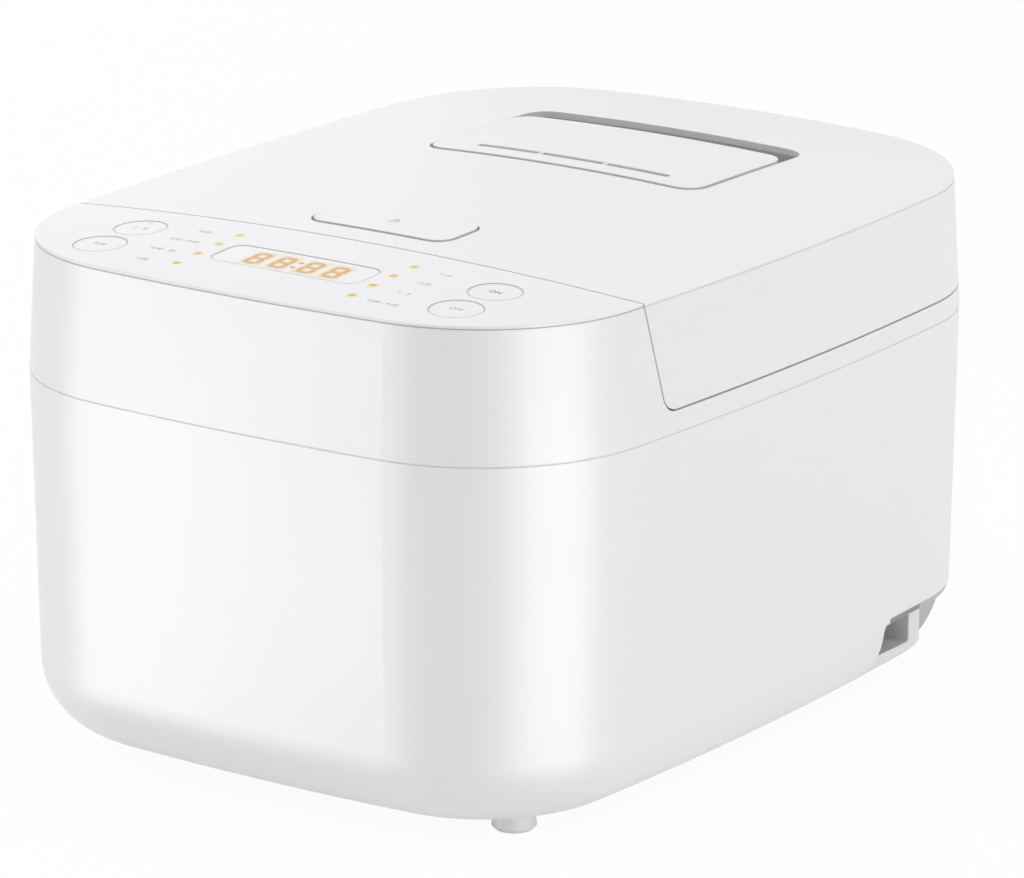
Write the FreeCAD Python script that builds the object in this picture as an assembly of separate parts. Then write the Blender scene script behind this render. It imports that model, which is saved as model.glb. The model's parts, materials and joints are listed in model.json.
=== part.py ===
import FreeCAD, Part
import math
import os
from functools import lru_cache
from FreeCAD import Vector

# A three-litre rice cooker in millimetres: +Z up, front towards -Y, origin under its middle on the table.

# Plan outline: a rounded rectangle with gently bowed sides, wrapped round the pot with room for the works
SIDE_ROOM = 31.0
REAR_ROOM = 29.5
PANEL_DEPTH = 73.4
LID_FOOT_ROOM = 0.78
SIDE_BOW_RADIUS = 1530.0
FRONT_BOW_RADIUS = 945.0
CORNER_RADIUS = 67.4

# Heights, stacked from the table up
FOOT_HEIGHT = 6.5
SHELL_TALL = 134.9
BAND_TALL = 7.7
LID_GAP = 0.7
LID_SIDE_TALL = 39.4
CROWN_RISE = 6.7

# Casing form
WALL = 2.5
LOWER_DRAFT = 2.0
BOTTOM_ROUND = 27.0
TOP_INSET = 2.8
TOP_EDGE_RADIUS = 0.7
EDGE_RISE = 0.8
CROWN_SIDE_INSET = 3.0
CROWN_CENTRE_Y = 20.0
CROWN_POWER = 2.8
CROWN_STEPS = 6
CROWN_MARGIN = 0.55
SEAM_GAP = 0.4
LIP_TALL = 5.0
LIP_WALL = 1.8
FIT = 0.3
SLIDE_FIT = 0.2
PIN_FIT = 0.05
FLUSH = 0.1
PROUD = 0.4

# Lid front edge, seen from the side
LID_LEAN = 14.0
LID_CORNER = 7.0

# Base cover, feet and their screws
COVER_WALL = 2.5
COVER_INSET = 30.0
FLANGE_WIDTH = 9.0
FOOT_FROM_SIDE = 43.0
FOOT_FROM_END = 49.0
FOOT_RADIUS = 8.0
FOOT_EDGE = 1.2
FOOT_STUD_RADIUS = 3.0
FOOT_STUD_TALL = 2.3
BASE_SCREW_FROM_SIDE = 35.0
BASE_SCREW_BEFORE_POT = 91.5
REAR_SCREW_FROM_SIDE = 67.0
REAR_SCREW_FROM_REAR = 38.0
SCREW_RADIUS = 1.6
SCREW_HEAD_RADIUS = 3.4
SCREW_HEAD_TALL = 1.8
SCREW_CROSS_LENGTH = 3.6
SCREW_CROSS_WIDTH = 0.9
SCREW_BOSS_RADIUS = 4.2
SCREW_LENGTH = 12.0
VENT_COUNT = 7
VENT_PITCH = 9.0
VENT_WIDTH = 3.0
VENT_LENGTH = 30.0
VENT_ROWS_FROM_POT = (-91.5, 63.5)

# Cooking pot and its chamber
POT_RADIUS = 98.0
POT_WALL = 1.8
POT_DEPTH = 118.5
POT_ROUND = 26.0
POT_RIM = 7.0
POT_RIM_DROP = 0.5
POT_PLATE_GAP = 0.3
POT_AIR = 4.0
POT_CLEAR = 2.5
CHAMBER_WALL = 1.0
CHAMBER_FLANGE = 9.0
CHAMBER_SCREW_LENGTH = 3.0
CHAMBER_SCREW_COUNT = 4
WELL_RING_WALL = 2.5
WELL_RING_DROP = 4.0
WELL_COLLAR_AIR = 2.0

# Heating plate and heater
PLATE_THICK = 9.5
PLATE_HOLE_RADIUS = 19.0
PLATE_LEG_RADIUS = 5.0
PLATE_LEG_INSET = 8.0
PLATE_LEG_TALL = 5.0
CHAMBER_HOLE_INSET = 8.0
HEATER_CIRCLE = 45.0
HEATER_RADIUS = 3.4
HEATER_SWEEP = 320.0
TERMINAL_RADIUS = 1.4
TERMINAL_LENGTH = 5.0
PLATE_SCREW_LENGTH = 4.5
FUSE_RADIUS = 2.4
FUSE_LENGTH = 13.0
FUSE_Y = 29.0
BAND_HEIGHT_LOW = 70.0
BAND_WIDTH = 28.0
BAND_THICK = 1.4

# Temperature sensor under the pot
SENSOR_RADIUS = 15.0
SENSOR_CAP_TALL = 3.6
SENSOR_STEM_RADIUS = 9.6
SENSOR_TRAVEL = 2.0
SENSOR_FLOOR_AIR = 1.0
HOLDER_RADIUS = 20.0
HOLDER_THICK = 1.8
HOLDER_LIFT = 4.0
HOLDER_TUBE_WALL = 1.2
HOLDER_TUBE_TALL = 4.5
HOLDER_BOSS_WALL = 3.5
SENSOR_SPRING_WIRE = 1.1
SENSOR_SPRING_TURNS = 3.5
SENSOR_SPRING_AIR = 0.5

# Power board in the front of the shell
BOARD_THICK = 1.6
BOARD_WIDTH = 140.0
BOARD_TALL = 80.0
BOARD_FROM_FRONT = 65.0
BOARD_RAIL_WIDTH = 7.0
BOARD_RAIL_DEPTH = 9.0
BOARD_RAIL_TALL = 50.0
BOARD_RAIL_BITE = 3.0
BOARD_LIFT = 5.0
TRANSFORMER = (42.0, 30.0, 34.0)
TRANSFORMER_X = -34.0
RELAY = (20.0, 16.0, 18.0)
RELAY_X = 20.0
CAPACITOR_RADIUS = 8.0
CAPACITOR_LENGTH = 24.0
CAPACITOR_X = 46.0
PART_LIFT = 18.0

# Power inlet in its notch, low at the right rear
NOTCH_BEHIND_POT = 28.5
NOTCH_FROM_SIDE = 28.0
NOTCH_TALL = 29.0
NOTCH_CORNER = 6.0
INLET_LENGTH = 38.5
INLET_FROM_SIDE = 10.0
INLET_INSET = 0.6
INLET_EDGE_RADIUS = 4.5
INLET_WALL = 2.0
SOCKET_WIDTH = 22.5
SOCKET_TALL = 13.5
SOCKET_DEPTH = 15.0
SOCKET_FROM_NOTCH = 16.5
SOCKET_CENTRE_LIFT = 19.8
SOCKET_CORNER = 2.0
INLET_PIN_RADIUS = 2.0
INLET_PIN_LENGTH = 9.0
INLET_PIN_PITCH = 9.0

# Control panel, keys, lights and display
PANEL_WALL = 2.5
KEY_RADIUS = 9.4
KEY_FROM_SIDE = 51.6
KEY_ROWS_FROM_FRONT = (50.0, 27.0)
KEY_GAP = 0.3
KEY_FLANGE = 1.4
KEY_FLANGE_THICK = 1.4
KEY_TRAVEL = 0.5
KEY_STEM_RADIUS = 2.5
LIGHT_X = 38.1
LIGHT_FROM_FRONT = 56.8
LIGHT_PITCH = 12.1
LIGHT_COUNT = 4
LIGHT_RADIUS = 1.35
LIGHT_FIT = 0.1
WINDOW_HALF = 32.0
WINDOW_FROM_FRONT = 29.5
WINDOW_DEPTH = 18.5
WINDOW_CORNER = 5.0
WINDOW_FIT = 0.25
MODULE_MARGIN = 3.0
CONTROL_BOARD_DROP = 13.0
CONTROL_BOARD_FROM_SIDE = 41.0
CONTROL_BOARD_FROM_FRONT = 15.0
CONTROL_BOARD_DEPTH = 51.0
SWITCH_SIZE = 6.0
SWITCH_TALL = 3.5
PLUNGER_RADIUS = 1.7
PLUNGER_TALL = 1.0
PANEL_BOSS_X = 58.0
PANEL_BOSS_FROM_FRONT = (61.0, 20.0)
PANEL_BOSS_RADIUS = 3.6
PANEL_SCREW_RADIUS = 1.3
PANEL_SCREW_LENGTH = 7.0

# Hinge at the rear
HINGE_RADIUS = 9.3
HINGE_PIN_RADIUS = 2.5
HINGE_EAR_X = 30.0
HINGE_EAR_WIDTH = 12.0
HINGE_EAR_FIT = 0.5
HINGE_LUG_WIDTH = 9.0
HINGE_LUG_RADIUS = 6.6
HINGE_SKIN = 2.2
HINGE_PIN_END = 1.0
HINGE_SPRING_RADIUS = 4.0
HINGE_SPRING_WIRE = 1.6
HINGE_SPRING_TURNS = 9.0
HINGE_SPRING_PITCH = 2.2
HINGE_WEB_TALL = 14.0

# Lid inside
LINER_WALL = 2.5
LINER_LIFT = 0.5
LINER_INSET = 4.0
LID_TOP_WALL = 2.5
DISH_AIR = 0.4
DISH_TALL = 14.0
INNER_LID_INSET = 1.6
INNER_LID_THICK = 1.2
INNER_LID_LIFT = 2.6
SEAL_BODY = 2.0
SEAL_LIP_REACH = 7.0
SEAL_LIP_THICK = 1.0
SEAL_TALL = 5.0
POST_RADIUS = 4.0
GROMMET_WALL = 0.8
GROMMET_FLANGE = 3.5
GROMMET_FLANGE_THICK = 1.2
LID_SENSOR_RADIUS = 5.0
LID_SENSOR_BEFORE_POT = 58.5
LID_SENSOR_FLANGE = 3.0
LID_BOSS_FROM_SIDE = 23.0
LID_BOSSES_FROM_POT = (-70.5, 83.5)
LID_BOSS_TALL = 14.0
LID_RIB = 2.4
LID_SCREW_HEAD_TALL = 1.2
LID_SCREW_LENGTH = 9.0
STEAM_HOLE_RADIUS = 3.0
STEAM_HOLE_CIRCLE = 10.0
STEAM_HOLE_COUNT = 6

# Release button and latch
BUTTON_HALF = 30.0
BUTTON_FROM_SEAM = 11.6
BUTTON_DEPTH = 26.0
BUTTON_CORNER = 7.0
BUTTON_GAP = 1.0
BUTTON_WALL = 2.5
BUTTON_PIVOT_FORWARD = 2.5
BUTTON_PIVOT_DROP = 6.5
BUTTON_PIN_RADIUS = 1.5
BUTTON_EAR_WIDTH = 3.0
BUTTON_LUG_WIDTH = 3.0
BUTTON_LUG_RADIUS = 3.0
LATCH_FROM_SEAM = 24.6
LATCH_PIVOT_DROP = 13.5
LATCH_PIN_RADIUS = 2.0
LATCH_HUB_RADIUS = 4.5
LATCH_HALF = 5.0
LATCH_ARM = 11.0
LATCH_PAD_WIDTH = 4.0
LATCH_PAD_TALL = 6.5
LATCH_ARM_THICK = 3.0
LATCH_DROP = 16.0
LATCH_LEG_THICK = 4.0
LATCH_LEG_FORWARD = 3.0
NOSE_TALL = 5.0
NOSE_REACH = 20.5
LATCH_EAR_WIDTH = 3.0
LATCH_EAR_RADIUS = 4.5
LATCH_SPRING_RADIUS = 3.0
LATCH_SPRING_WIRE = 0.7
LATCH_SPRING_TURNS = 3.0
LATCH_SPRING_PITCH = 0.8
LATCH_SPRING_ROOM = 3.6
LATCH_WINDOW_HALF = 8.0
LATCH_WINDOW_LOW = 5.0
LATCH_WINDOW_HIGH = 8.0
CATCH_MARGIN = 5.0
CATCH_THICK = 2.0

# Steam vent in the lid top
STEAM_HALF = 60.0
STEAM_BEFORE_POT = 2.0
STEAM_LENGTH = 62.5
STEAM_CORNER = 8.0
STEAM_GAP = 1.2
STEAM_CAP_WALL = 2.4
STEAM_SLOT_LENGTH = 27.6
STEAM_SLOT_WIDTH = 3.2
STEAM_SLOT_STEP = 28.8
STEAM_SLOT_INSET = 10.5
STEAM_DEPTH = 22.0
STEAM_SEAT_WALL = 2.0
STEAM_SPOUT_BEHIND_POT = 29.5
STEAM_SPOUT_RADIUS = 9.0
STEAM_SPOUT_WALL = 1.6
STEAM_SPOUT_DROP = 9.0
STEAM_CUP_WALL = 1.6
STEAM_CUP_INSET = 2.0
STEAM_CUP_TALL = 9.0
STEAM_SKIRT_WALL = 1.5
GASKET_WALL = 1.6
GASKET_TALL = 5.0
DUCT_WALL = 2.0
RECESS_DEPTH = 13.5
RECESS_SHELF_DROP = 9.0

# Levels and places that follow from the sizes above
z_base = FOOT_HEIGHT
z_belt = z_base + SHELL_TALL
z_frame = z_belt + BAND_TALL
z_lid = z_frame + LID_GAP
z_part = z_lid + LID_SIDE_TALL
z_crown = z_part + EDGE_RISE + CROWN_RISE
taper = TOP_INSET / (z_part - z_belt)
lean_slope = math.tan(math.radians(LID_LEAN))
z_rim = z_frame - POT_RIM_DROP
z_pot = z_rim - POT_DEPTH
z_plate = z_pot - POT_PLATE_GAP
z_plate_low = z_plate - PLATE_THICK
z_chamber = z_plate_low - PLATE_LEG_TALL - CHAMBER_WALL
z_well_ring = z_frame - WELL_RING_DROP
well_radius = POT_RADIUS + POT_RIM + WELL_COLLAR_AIR
chamber_radius = POT_RADIUS + POT_AIR
plate_radius = POT_RADIUS - POT_ROUND
plate_leg_circle = plate_radius - PLATE_LEG_INSET
chamber_hole_radius = plate_leg_circle - CHAMBER_HOLE_INSET
inner_lid_radius = POT_RADIUS - INNER_LID_INSET
dish_radius = inner_lid_radius + SLIDE_FIT + SEAL_BODY + DISH_AIR + LINER_WALL
lid_run = (z_part - z_lid) * lean_slope + LID_CORNER
half_width = POT_RADIUS + SIDE_ROOM
front_room = PANEL_DEPTH + lid_run + LID_FOOT_ROOM + well_radius + WELL_RING_WALL
depth = front_room + POT_RADIUS + REAR_ROOM
front_y = -depth / 2
pot_y = front_y + front_room
seam_y = front_y + PANEL_DEPTH
lid_foot_y = seam_y + lid_run
far = 2 * half_width + depth
crown_half = half_width - CROWN_SIDE_INSET
crown_reach = depth / 2 + CROWN_CENTRE_Y
foot_x = half_width - FOOT_FROM_SIDE
foot_y = depth / 2 - FOOT_FROM_END
base_screw_front = (half_width - BASE_SCREW_FROM_SIDE, pot_y - BASE_SCREW_BEFORE_POT)
base_screw_rear = (half_width - REAR_SCREW_FROM_SIDE, depth / 2 - REAR_SCREW_FROM_REAR)
vent_rows = [pot_y + offset for offset in VENT_ROWS_FROM_POT]
board_y = front_y + BOARD_FROM_FRONT
notch_x = half_width - NOTCH_FROM_SIDE
notch_y = pot_y + NOTCH_BEHIND_POT
inlet_face_x = half_width - INLET_FROM_SIDE
inlet_end_y = notch_y + INLET_LENGTH
socket_y = notch_y + SOCKET_FROM_NOTCH
key_x = half_width - KEY_FROM_SIDE
key_rows = [front_y + offset for offset in KEY_ROWS_FROM_FRONT]
window_y = (front_y + WINDOW_FROM_FRONT, front_y + WINDOW_FROM_FRONT + WINDOW_DEPTH)
control_board_half = half_width - CONTROL_BOARD_FROM_SIDE
control_board_front = front_y + CONTROL_BOARD_FROM_FRONT
panel_boss_rows = [front_y + offset for offset in PANEL_BOSS_FROM_FRONT]
lid_boss_x = half_width - LID_BOSS_FROM_SIDE
lid_boss_rows = [pot_y + offset for offset in LID_BOSSES_FROM_POT]
lid_sensor_y = pot_y - LID_SENSOR_BEFORE_POT
button_y = (seam_y + BUTTON_FROM_SEAM, seam_y + BUTTON_FROM_SEAM + BUTTON_DEPTH)
latch_y = seam_y + LATCH_FROM_SEAM
steam_y = (pot_y - STEAM_BEFORE_POT, pot_y - STEAM_BEFORE_POT + STEAM_LENGTH)
spout_y = pot_y + STEAM_SPOUT_BEHIND_POT
hinge_y = depth / 2 - HINGE_RADIUS
hinge_z = z_lid + HINGE_RADIUS
hinge_span = HINGE_EAR_X + HINGE_EAR_WIDTH + HINGE_EAR_FIT
button_span = BUTTON_HALF + 2 * BUTTON_GAP + BUTTON_EAR_WIDTH + FIT
z_cover = z_base + COVER_WALL
z_flange = z_cover + COVER_WALL
z_ring_low = z_well_ring - WELL_RING_WALL
z_holder = z_cover + HOLDER_LIFT
z_board = z_part - CONTROL_BOARD_DROP
z_notch = z_base + NOTCH_TALL
z_liner = z_lid + LINER_LIFT
z_dish = z_liner + DISH_TALL
z_inner_lid = z_liner + INNER_LID_LIFT
z_seat = z_crown - STEAM_DEPTH
z_high = z_crown + TOP_INSET
latch_z = z_part - LATCH_PIVOT_DROP
nose_z = latch_z - LATCH_DROP
pad_z = latch_z + LATCH_PAD_TALL
button_pivot_y = button_y[1] - BUTTON_PIVOT_FORWARD
pot_axis = Vector(0, pot_y, 0)
x_way = Vector(1, 0, 0)
y_way = Vector(0, 1, 0)
z_way = Vector(0, 0, 1)


def crown_height(x, y):
    """Height of the casing's pillowed top above a point of the plan."""
    across = 1 - (x / crown_half) ** 2
    along = 1 - abs((y - CROWN_CENTRE_Y) / crown_reach) ** CROWN_POWER
    return z_part + EDGE_RISE + CROWN_RISE * across * along


button_pivot_z = crown_height(BUTTON_HALF, button_pivot_y) - BUTTON_PIVOT_DROP


def box(x0, x1, y0, y1, z0, z1):
    return Part.makeBox(x1 - x0, y1 - y0, z1 - z0, Vector(x0, y0, z0))


def rod(radius, x, y, z0, z1):
    return Part.makeCylinder(radius, z1 - z0, Vector(x, y, z0), z_way)


def rod_x(radius, x0, x1, y, z):
    return Part.makeCylinder(radius, x1 - x0, Vector(x0, y, z), x_way)


def tube(outer, inner, x, y, z0, z1):
    return rod(outer, x, y, z0, z1).cut(rod(inner, x, y, z0, z1))


def fuse_all(shapes):
    return shapes[0].multiFuse(shapes[1:]).removeSplitter()


def turned(points, axis_point):
    """A ring turned about a vertical axis from (radius, height) points."""
    corners = [Vector(r, 0, z) + axis_point for r, z in points]
    face = Part.Face(Part.makePolygon(corners + corners[:1]))
    return face.revolve(axis_point, z_way, 360)


def slab(outline, x0, x1):
    """A plate between two X planes from (y, z) points."""
    corners = [Vector(x0, y, z) for y, z in outline]
    return Part.Face(Part.makePolygon(corners + corners[:1])).extrude(Vector(x1 - x0, 0, 0))


def rounded_prism(half, y0, y1, corner, z0, z1):
    """An upright prism, rounded at its four corners, that spans both sides of the middle plane."""
    blank = box(-half, half, y0, y1, z0, z1)
    upright = [e for e in blank.Edges if abs(e.tangentAt(e.FirstParameter).z) > 0.9]
    return blank.makeFillet(corner, upright)


def plan_arcs():
    """The plan outline as eight tangent arcs: centre, radius and the angles where each starts and ends."""
    side = Vector(half_width - SIDE_BOW_RADIUS, 0, 0)
    rear = Vector(0, depth / 2 - FRONT_BOW_RADIUS, 0)
    reach_side = SIDE_BOW_RADIUS - CORNER_RADIUS
    reach_rear = FRONT_BOW_RADIUS - CORNER_RADIUS
    span = rear - side
    near = (reach_side ** 2 - reach_rear ** 2 + span.Length ** 2) / (2 * span.Length)
    away = math.sqrt(reach_side ** 2 - near ** 2)
    along = Vector(span).normalize()
    corner = side + along * near + Vector(-along.y, along.x, 0) * away
    first = math.atan2(corner.y - side.y, corner.x - side.x)
    second = math.atan2(corner.y - rear.y, corner.x - rear.x)
    arcs = []
    for turn in (0, 1):
        sign = 1 - 2 * turn
        start = math.pi * turn
        mirrored = Vector(-corner.x, corner.y, 0)
        arcs.append((side * sign, SIDE_BOW_RADIUS, start - first, start + first))
        arcs.append((corner * sign, CORNER_RADIUS, start + first, start + second))
        arcs.append((rear * sign, FRONT_BOW_RADIUS, start + second, start + math.pi - second))
        arcs.append((mirrored * sign, CORNER_RADIUS, start + math.pi - second, start + math.pi - first))
    return arcs


def plan_wire(inset, z):
    """The bowed plan outline, drawn in by an inset, at one height."""
    edges = []
    for centre, radius, start, end in plan_arcs():
        place = Vector(centre.x, centre.y, z)
        edges.append(Part.makeCircle(radius - inset, place, z_way, math.degrees(start), math.degrees(end)))
    return Part.Wire(edges)


def swept_body(profile):
    """A solid whose wall follows the plan outline. Its profile runs up through (inset, height) points,
    and a step of three points is an arc."""
    faces = []
    for centre, radius, start, end in plan_arcs():
        way = Vector(math.cos(start), math.sin(start), 0)
        for step in profile:
            points = [centre + way * (radius - inset) + z_way * z for inset, z in step]
            edge = Part.Arc(*points).toShape() if len(points) == 3 else Part.makeLine(*points)
            faces.append(edge.revolve(centre, z_way, math.degrees(end - start)))
    faces.append(Part.Face(plan_wire(*profile[0][0])))
    faces.append(Part.Face(plan_wire(*profile[-1][-1])))
    shell = Part.makeShell(faces)
    shell.sewShape()
    solid = Part.Solid(shell)
    if solid.Volume < 0:
        solid.reverse()
    return solid


def plan_prism(inset, z0, z1):
    return Part.Face(plan_wire(inset, z0)).extrude(Vector(0, 0, z1 - z0))


def plan_ring(outer, inner, z0, z1):
    return plan_prism(outer, z0, z1).cut(plan_prism(inner, z0, z1))


@lru_cache(maxsize=None)
def crown_block(drop):
    """Everything under the pillowed top, lowered by a wall."""
    steps = [step / CROWN_STEPS for step in range(-CROWN_STEPS, CROWN_STEPS + 1)]
    xs = [2 * half_width * CROWN_MARGIN * step for step in steps]
    ys = [depth * CROWN_MARGIN * step for step in steps]
    surface = Part.BSplineSurface()
    surface.interpolate([[Vector(x, y, crown_height(x, y) - drop) for y in ys] for x in xs])
    return surface.toShape().extrude(Vector(0, 0, -z_crown))


@lru_cache(maxsize=None)
def side_core(offset):
    """The casing above the belt without its top, drawn in by an offset."""
    return swept_body([[(offset + taper * (z - z_belt), z) for z in (z_belt - LIP_TALL, z_high)]])


@lru_cache(maxsize=None)
def upper_body(offset):
    """The casing above the belt as one block, drawn in by an offset on its sides and top."""
    block = side_core(offset).common(crown_block(offset))
    if offset > 0:
        return block
    top = max(block.Faces, key=lambda f: f.CenterOfMass.z)
    return block.makeFillet(TOP_EDGE_RADIUS, top.Edges)


@lru_cache(maxsize=None)
def lower_body(offset, lift):
    """The casing below the belt as one block, drawn in by an offset, with its floor lifted."""
    z_low = z_base + lift
    radius = BOTTOM_ROUND - offset
    draft = LOWER_DRAFT + offset
    sloped = radius * (1 - math.sqrt(0.5))
    round_step = [(draft + radius, z_low), (draft + sloped, z_low + sloped), (draft, z_low + radius)]
    return swept_body([round_step, [(draft, z_low + radius), (offset, z_belt)]])


@lru_cache(maxsize=None)
def lid_side_view(grow):
    """The lid's outline seen from the side, grown outwards, as a block across the whole width."""
    z_low = z_lid - grow
    shift = grow / math.cos(math.radians(LID_LEAN))
    y_high = seam_y - shift - (z_high - z_part) * lean_slope
    y_low = seam_y - shift + (z_part - z_low) * lean_slope
    block = slab([(y_high, z_high), (y_low, z_low), (far, z_low), (far, z_high)], -far, far)
    corner = [e for e in block.Edges if abs(e.CenterOfMass.y - y_low) < 0.01
              and abs(e.CenterOfMass.z - z_low) < 0.01]
    return block.makeFillet(LID_CORNER + grow, corner)


def lean(shape):
    """Tip something drawn upright at the lid seam so that it follows the lid's leaning front."""
    shape.rotate(Vector(0, seam_y, z_part), x_way, LID_LEAN)
    return shape


def helix_spring(radius, wire, turns, pitch, start, axis, side):
    """A round-wire coil of quarter-turn arcs about an axis, with its ends square."""
    up = Vector(axis).normalize()
    out = Vector(side).normalize()
    across = up.cross(out)

    def at(turn):
        angle = 2 * math.pi * turn
        round_trip = out * math.cos(angle) + across * math.sin(angle)
        return start + round_trip * radius + up * (pitch * turn)

    quarters = int(round(turns * 4))
    edges = []
    for step in range(quarters):
        first, middle, last = (at((step + part) / 4) for part in (0, 0.5, 1))
        edges.append(Part.Arc(first, middle, last).toShape())
    path = Part.Wire(edges)
    heading = edges[0].tangentAt(edges[0].FirstParameter)
    ring = Part.Wire([Part.Circle(at(0), heading, wire / 2).toShape()])
    return path.makePipeShell([ring], True, False)


def above(z):
    return box(-far, far, -far, far, z, far)


def below(z):
    return box(-far, far, -far, far, -far, z)


def mirrored_pair(shape):
    """A piece on the right and its mirror image on the left."""
    return [shape, shape.mirror(Vector(0, 0, 0), x_way)]


@lru_cache(maxsize=None)
def skin(wall):
    """The casing's top as a plate: it lies on the parting line and drops inside the side walls."""
    top = upper_body(0).cut(crown_block(wall))
    return top.common(fuse_all([above(z_part + SEAM_GAP / 2), side_core(WALL + FIT)]))


@lru_cache(maxsize=None)
def top_plate(wall, drop):
    """A layer of a wall's thickness whose top lies a little under the casing's top, or above it."""
    return crown_block(drop).cut(crown_block(drop + wall))


@lru_cache(maxsize=None)
def over_skin(wall):
    """The space that a top plate and its clearance fill."""
    return fuse_all([above(z_part - SEAM_GAP / 2), side_core(WALL)]).cut(crown_block(wall + FIT))


@lru_cache(maxsize=None)
def side_wall():
    return upper_body(0).cut(side_core(WALL))


def screw(x, y, z, length, radius, head_tall):
    """A pan-head screw pointing up, with a cross recess, and the underside of its head at z."""
    shank = rod(radius, x, y, z, z + length)
    head = rod(SCREW_HEAD_RADIUS, x, y, z - head_tall, z)
    rim = [e for e in head.Edges if abs(e.CenterOfMass.z - (z - head_tall)) < 0.01 and len(e.Vertexes) == 1]
    low = z - head_tall
    bars = ((SCREW_CROSS_LENGTH / 2, SCREW_CROSS_WIDTH / 2), (SCREW_CROSS_WIDTH / 2, SCREW_CROSS_LENGTH / 2))
    cross = [box(x - a, x + a, y - b, y + b, low, low + head_tall / 2) for a, b in bars]
    return fuse_all([head.makeFillet(head_tall / 2, rim), shank]).cut(cross)


def round_about(count, radius, centre, offset):
    """Evenly spaced points on a circle."""
    points = []
    for step in range(count):
        angle = 2 * math.pi * (step + offset) / count
        points.append(centre + Vector(radius * math.cos(angle), radius * math.sin(angle), 0))
    return points


base_screw_points = [(sx * x, y) for sx in (-1, 1) for x, y in (base_screw_front, base_screw_rear)]
foot_points = {"foot_front_left": (-foot_x, -foot_y), "foot_front_right": (foot_x, -foot_y),
               "foot_rear_left": (-foot_x, foot_y), "foot_rear_right": (foot_x, foot_y)}
plate_legs = round_about(3, plate_leg_circle, pot_axis, 0.25)
chamber_screw_circle = chamber_radius + CHAMBER_WALL + CHAMBER_FLANGE / 2
chamber_screw_points = round_about(CHAMBER_SCREW_COUNT, chamber_screw_circle, pot_axis, 0.5)
panel_boss_points = [(sx * PANEL_BOSS_X, y) for sx in (-1, 1) for y in panel_boss_rows]
lid_boss_points = [(sx * lid_boss_x, y) for sx in (-1, 1) for y in lid_boss_rows]
light_rows = [front_y + LIGHT_FROM_FRONT - step * LIGHT_PITCH for step in range(LIGHT_COUNT)]
light_points = [(sx * LIGHT_X, y) for sx in (-1, 1) for y in light_rows]
key_points = {"key_left_rear": (-key_x, key_rows[0]), "key_left_front": (-key_x, key_rows[1]),
              "key_right_rear": (key_x, key_rows[0]), "key_right_front": (key_x, key_rows[1])}
switch_top = z_board + SWITCH_TALL + PLUNGER_TALL


def notch_space(shrink):
    """The notch cut out of the right rear corner of the casing for the power inlet."""
    space = box(notch_x + shrink, far, notch_y + shrink, far, z_base - FOOT_HEIGHT, z_notch - shrink)
    edge = [e for e in space.Edges if abs(e.CenterOfMass.y - notch_y - shrink) < 0.01
            and abs(e.CenterOfMass.z - z_notch + shrink) < 0.01]
    return space.makeFillet(NOTCH_CORNER - shrink, edge)


def outer_shell():
    body = lower_body(0, 0).cut(lower_body(WALL, 2 * COVER_WALL))
    bosses = [rod(SCREW_BOSS_RADIUS, x, y, z_flange - COVER_WALL / 2, z_flange + SCREW_LENGTH) for x,
              y in base_screw_points]
    body = fuse_all([body] + bosses)
    opening = plan_prism(COVER_INSET + FLANGE_WIDTH, 0, z_flange + WALL)
    opening = opening.cut(bosses)
    rebate = plan_prism(COVER_INSET, 0, z_cover)
    holes = [rod(SCREW_RADIUS + PIN_FIT, x, y, 0, z_cover + SCREW_LENGTH + FIT) for x,
             y in base_screw_points]
    return body.cut([opening, rebate, notch_space(0), above(z_belt - SEAM_GAP / 2)] + holes)


def board_rail():
    """One upright rail on the base cover that holds an edge of the power board."""
    half = BOARD_WIDTH / 2
    middle = board_y + BOARD_THICK / 2
    start = half - BOARD_RAIL_BITE
    return box(start, start + BOARD_RAIL_WIDTH, middle - BOARD_RAIL_DEPTH / 2,
               middle + BOARD_RAIL_DEPTH / 2,
               z_cover - COVER_WALL / 2, z_cover + BOARD_RAIL_TALL)


def base_cover():
    plate = plan_prism(COVER_INSET + FIT, z_base, z_cover)
    boss_inner = SENSOR_STEM_RADIUS + SENSOR_FLOOR_AIR
    boss = tube(boss_inner + HOLDER_BOSS_WALL, boss_inner, 0, pot_y, z_cover - COVER_WALL / 2, z_holder)
    body = fuse_all([plate, boss] + mirrored_pair(board_rail()))
    half = BOARD_WIDTH / 2 + SLIDE_FIT
    slot = box(-half, half, board_y - SLIDE_FIT, board_y + BOARD_THICK + SLIDE_FIT, z_cover + BOARD_LIFT,
               far)
    vents = []
    for row in vent_rows:
        for step in range(VENT_COUNT):
            x = (step - (VENT_COUNT - 1) / 2) * VENT_PITCH
            vents.append(box(x - VENT_WIDTH / 2, x + VENT_WIDTH / 2, row - VENT_LENGTH / 2,
                             row + VENT_LENGTH / 2, 0, z_cover))
    holes = [rod(SCREW_RADIUS + SLIDE_FIT, x, y, 0, z_flange) for x, y in base_screw_points]
    studs = [rod(FOOT_STUD_RADIUS + PIN_FIT, x, y, 0, z_flange) for x, y in foot_points.values()]
    return body.cut([slot, notch_space(-FIT)] + vents + holes + studs)


def foot(x, y):
    profile = [(0, 0), (FOOT_RADIUS - FOOT_EDGE, 0), (FOOT_RADIUS, FOOT_EDGE),
               (FOOT_RADIUS - FOOT_EDGE / 2, z_base),
               (FOOT_STUD_RADIUS, z_base), (FOOT_STUD_RADIUS, z_base + FOOT_STUD_TALL),
               (0, z_base + FOOT_STUD_TALL)]
    return turned(profile, Vector(x, y, 0))


def base_screws():
    return Part.makeCompound([screw(x, y, z_base, SCREW_LENGTH, SCREW_RADIUS, SCREW_HEAD_TALL) for x,
                              y in base_screw_points])


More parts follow.
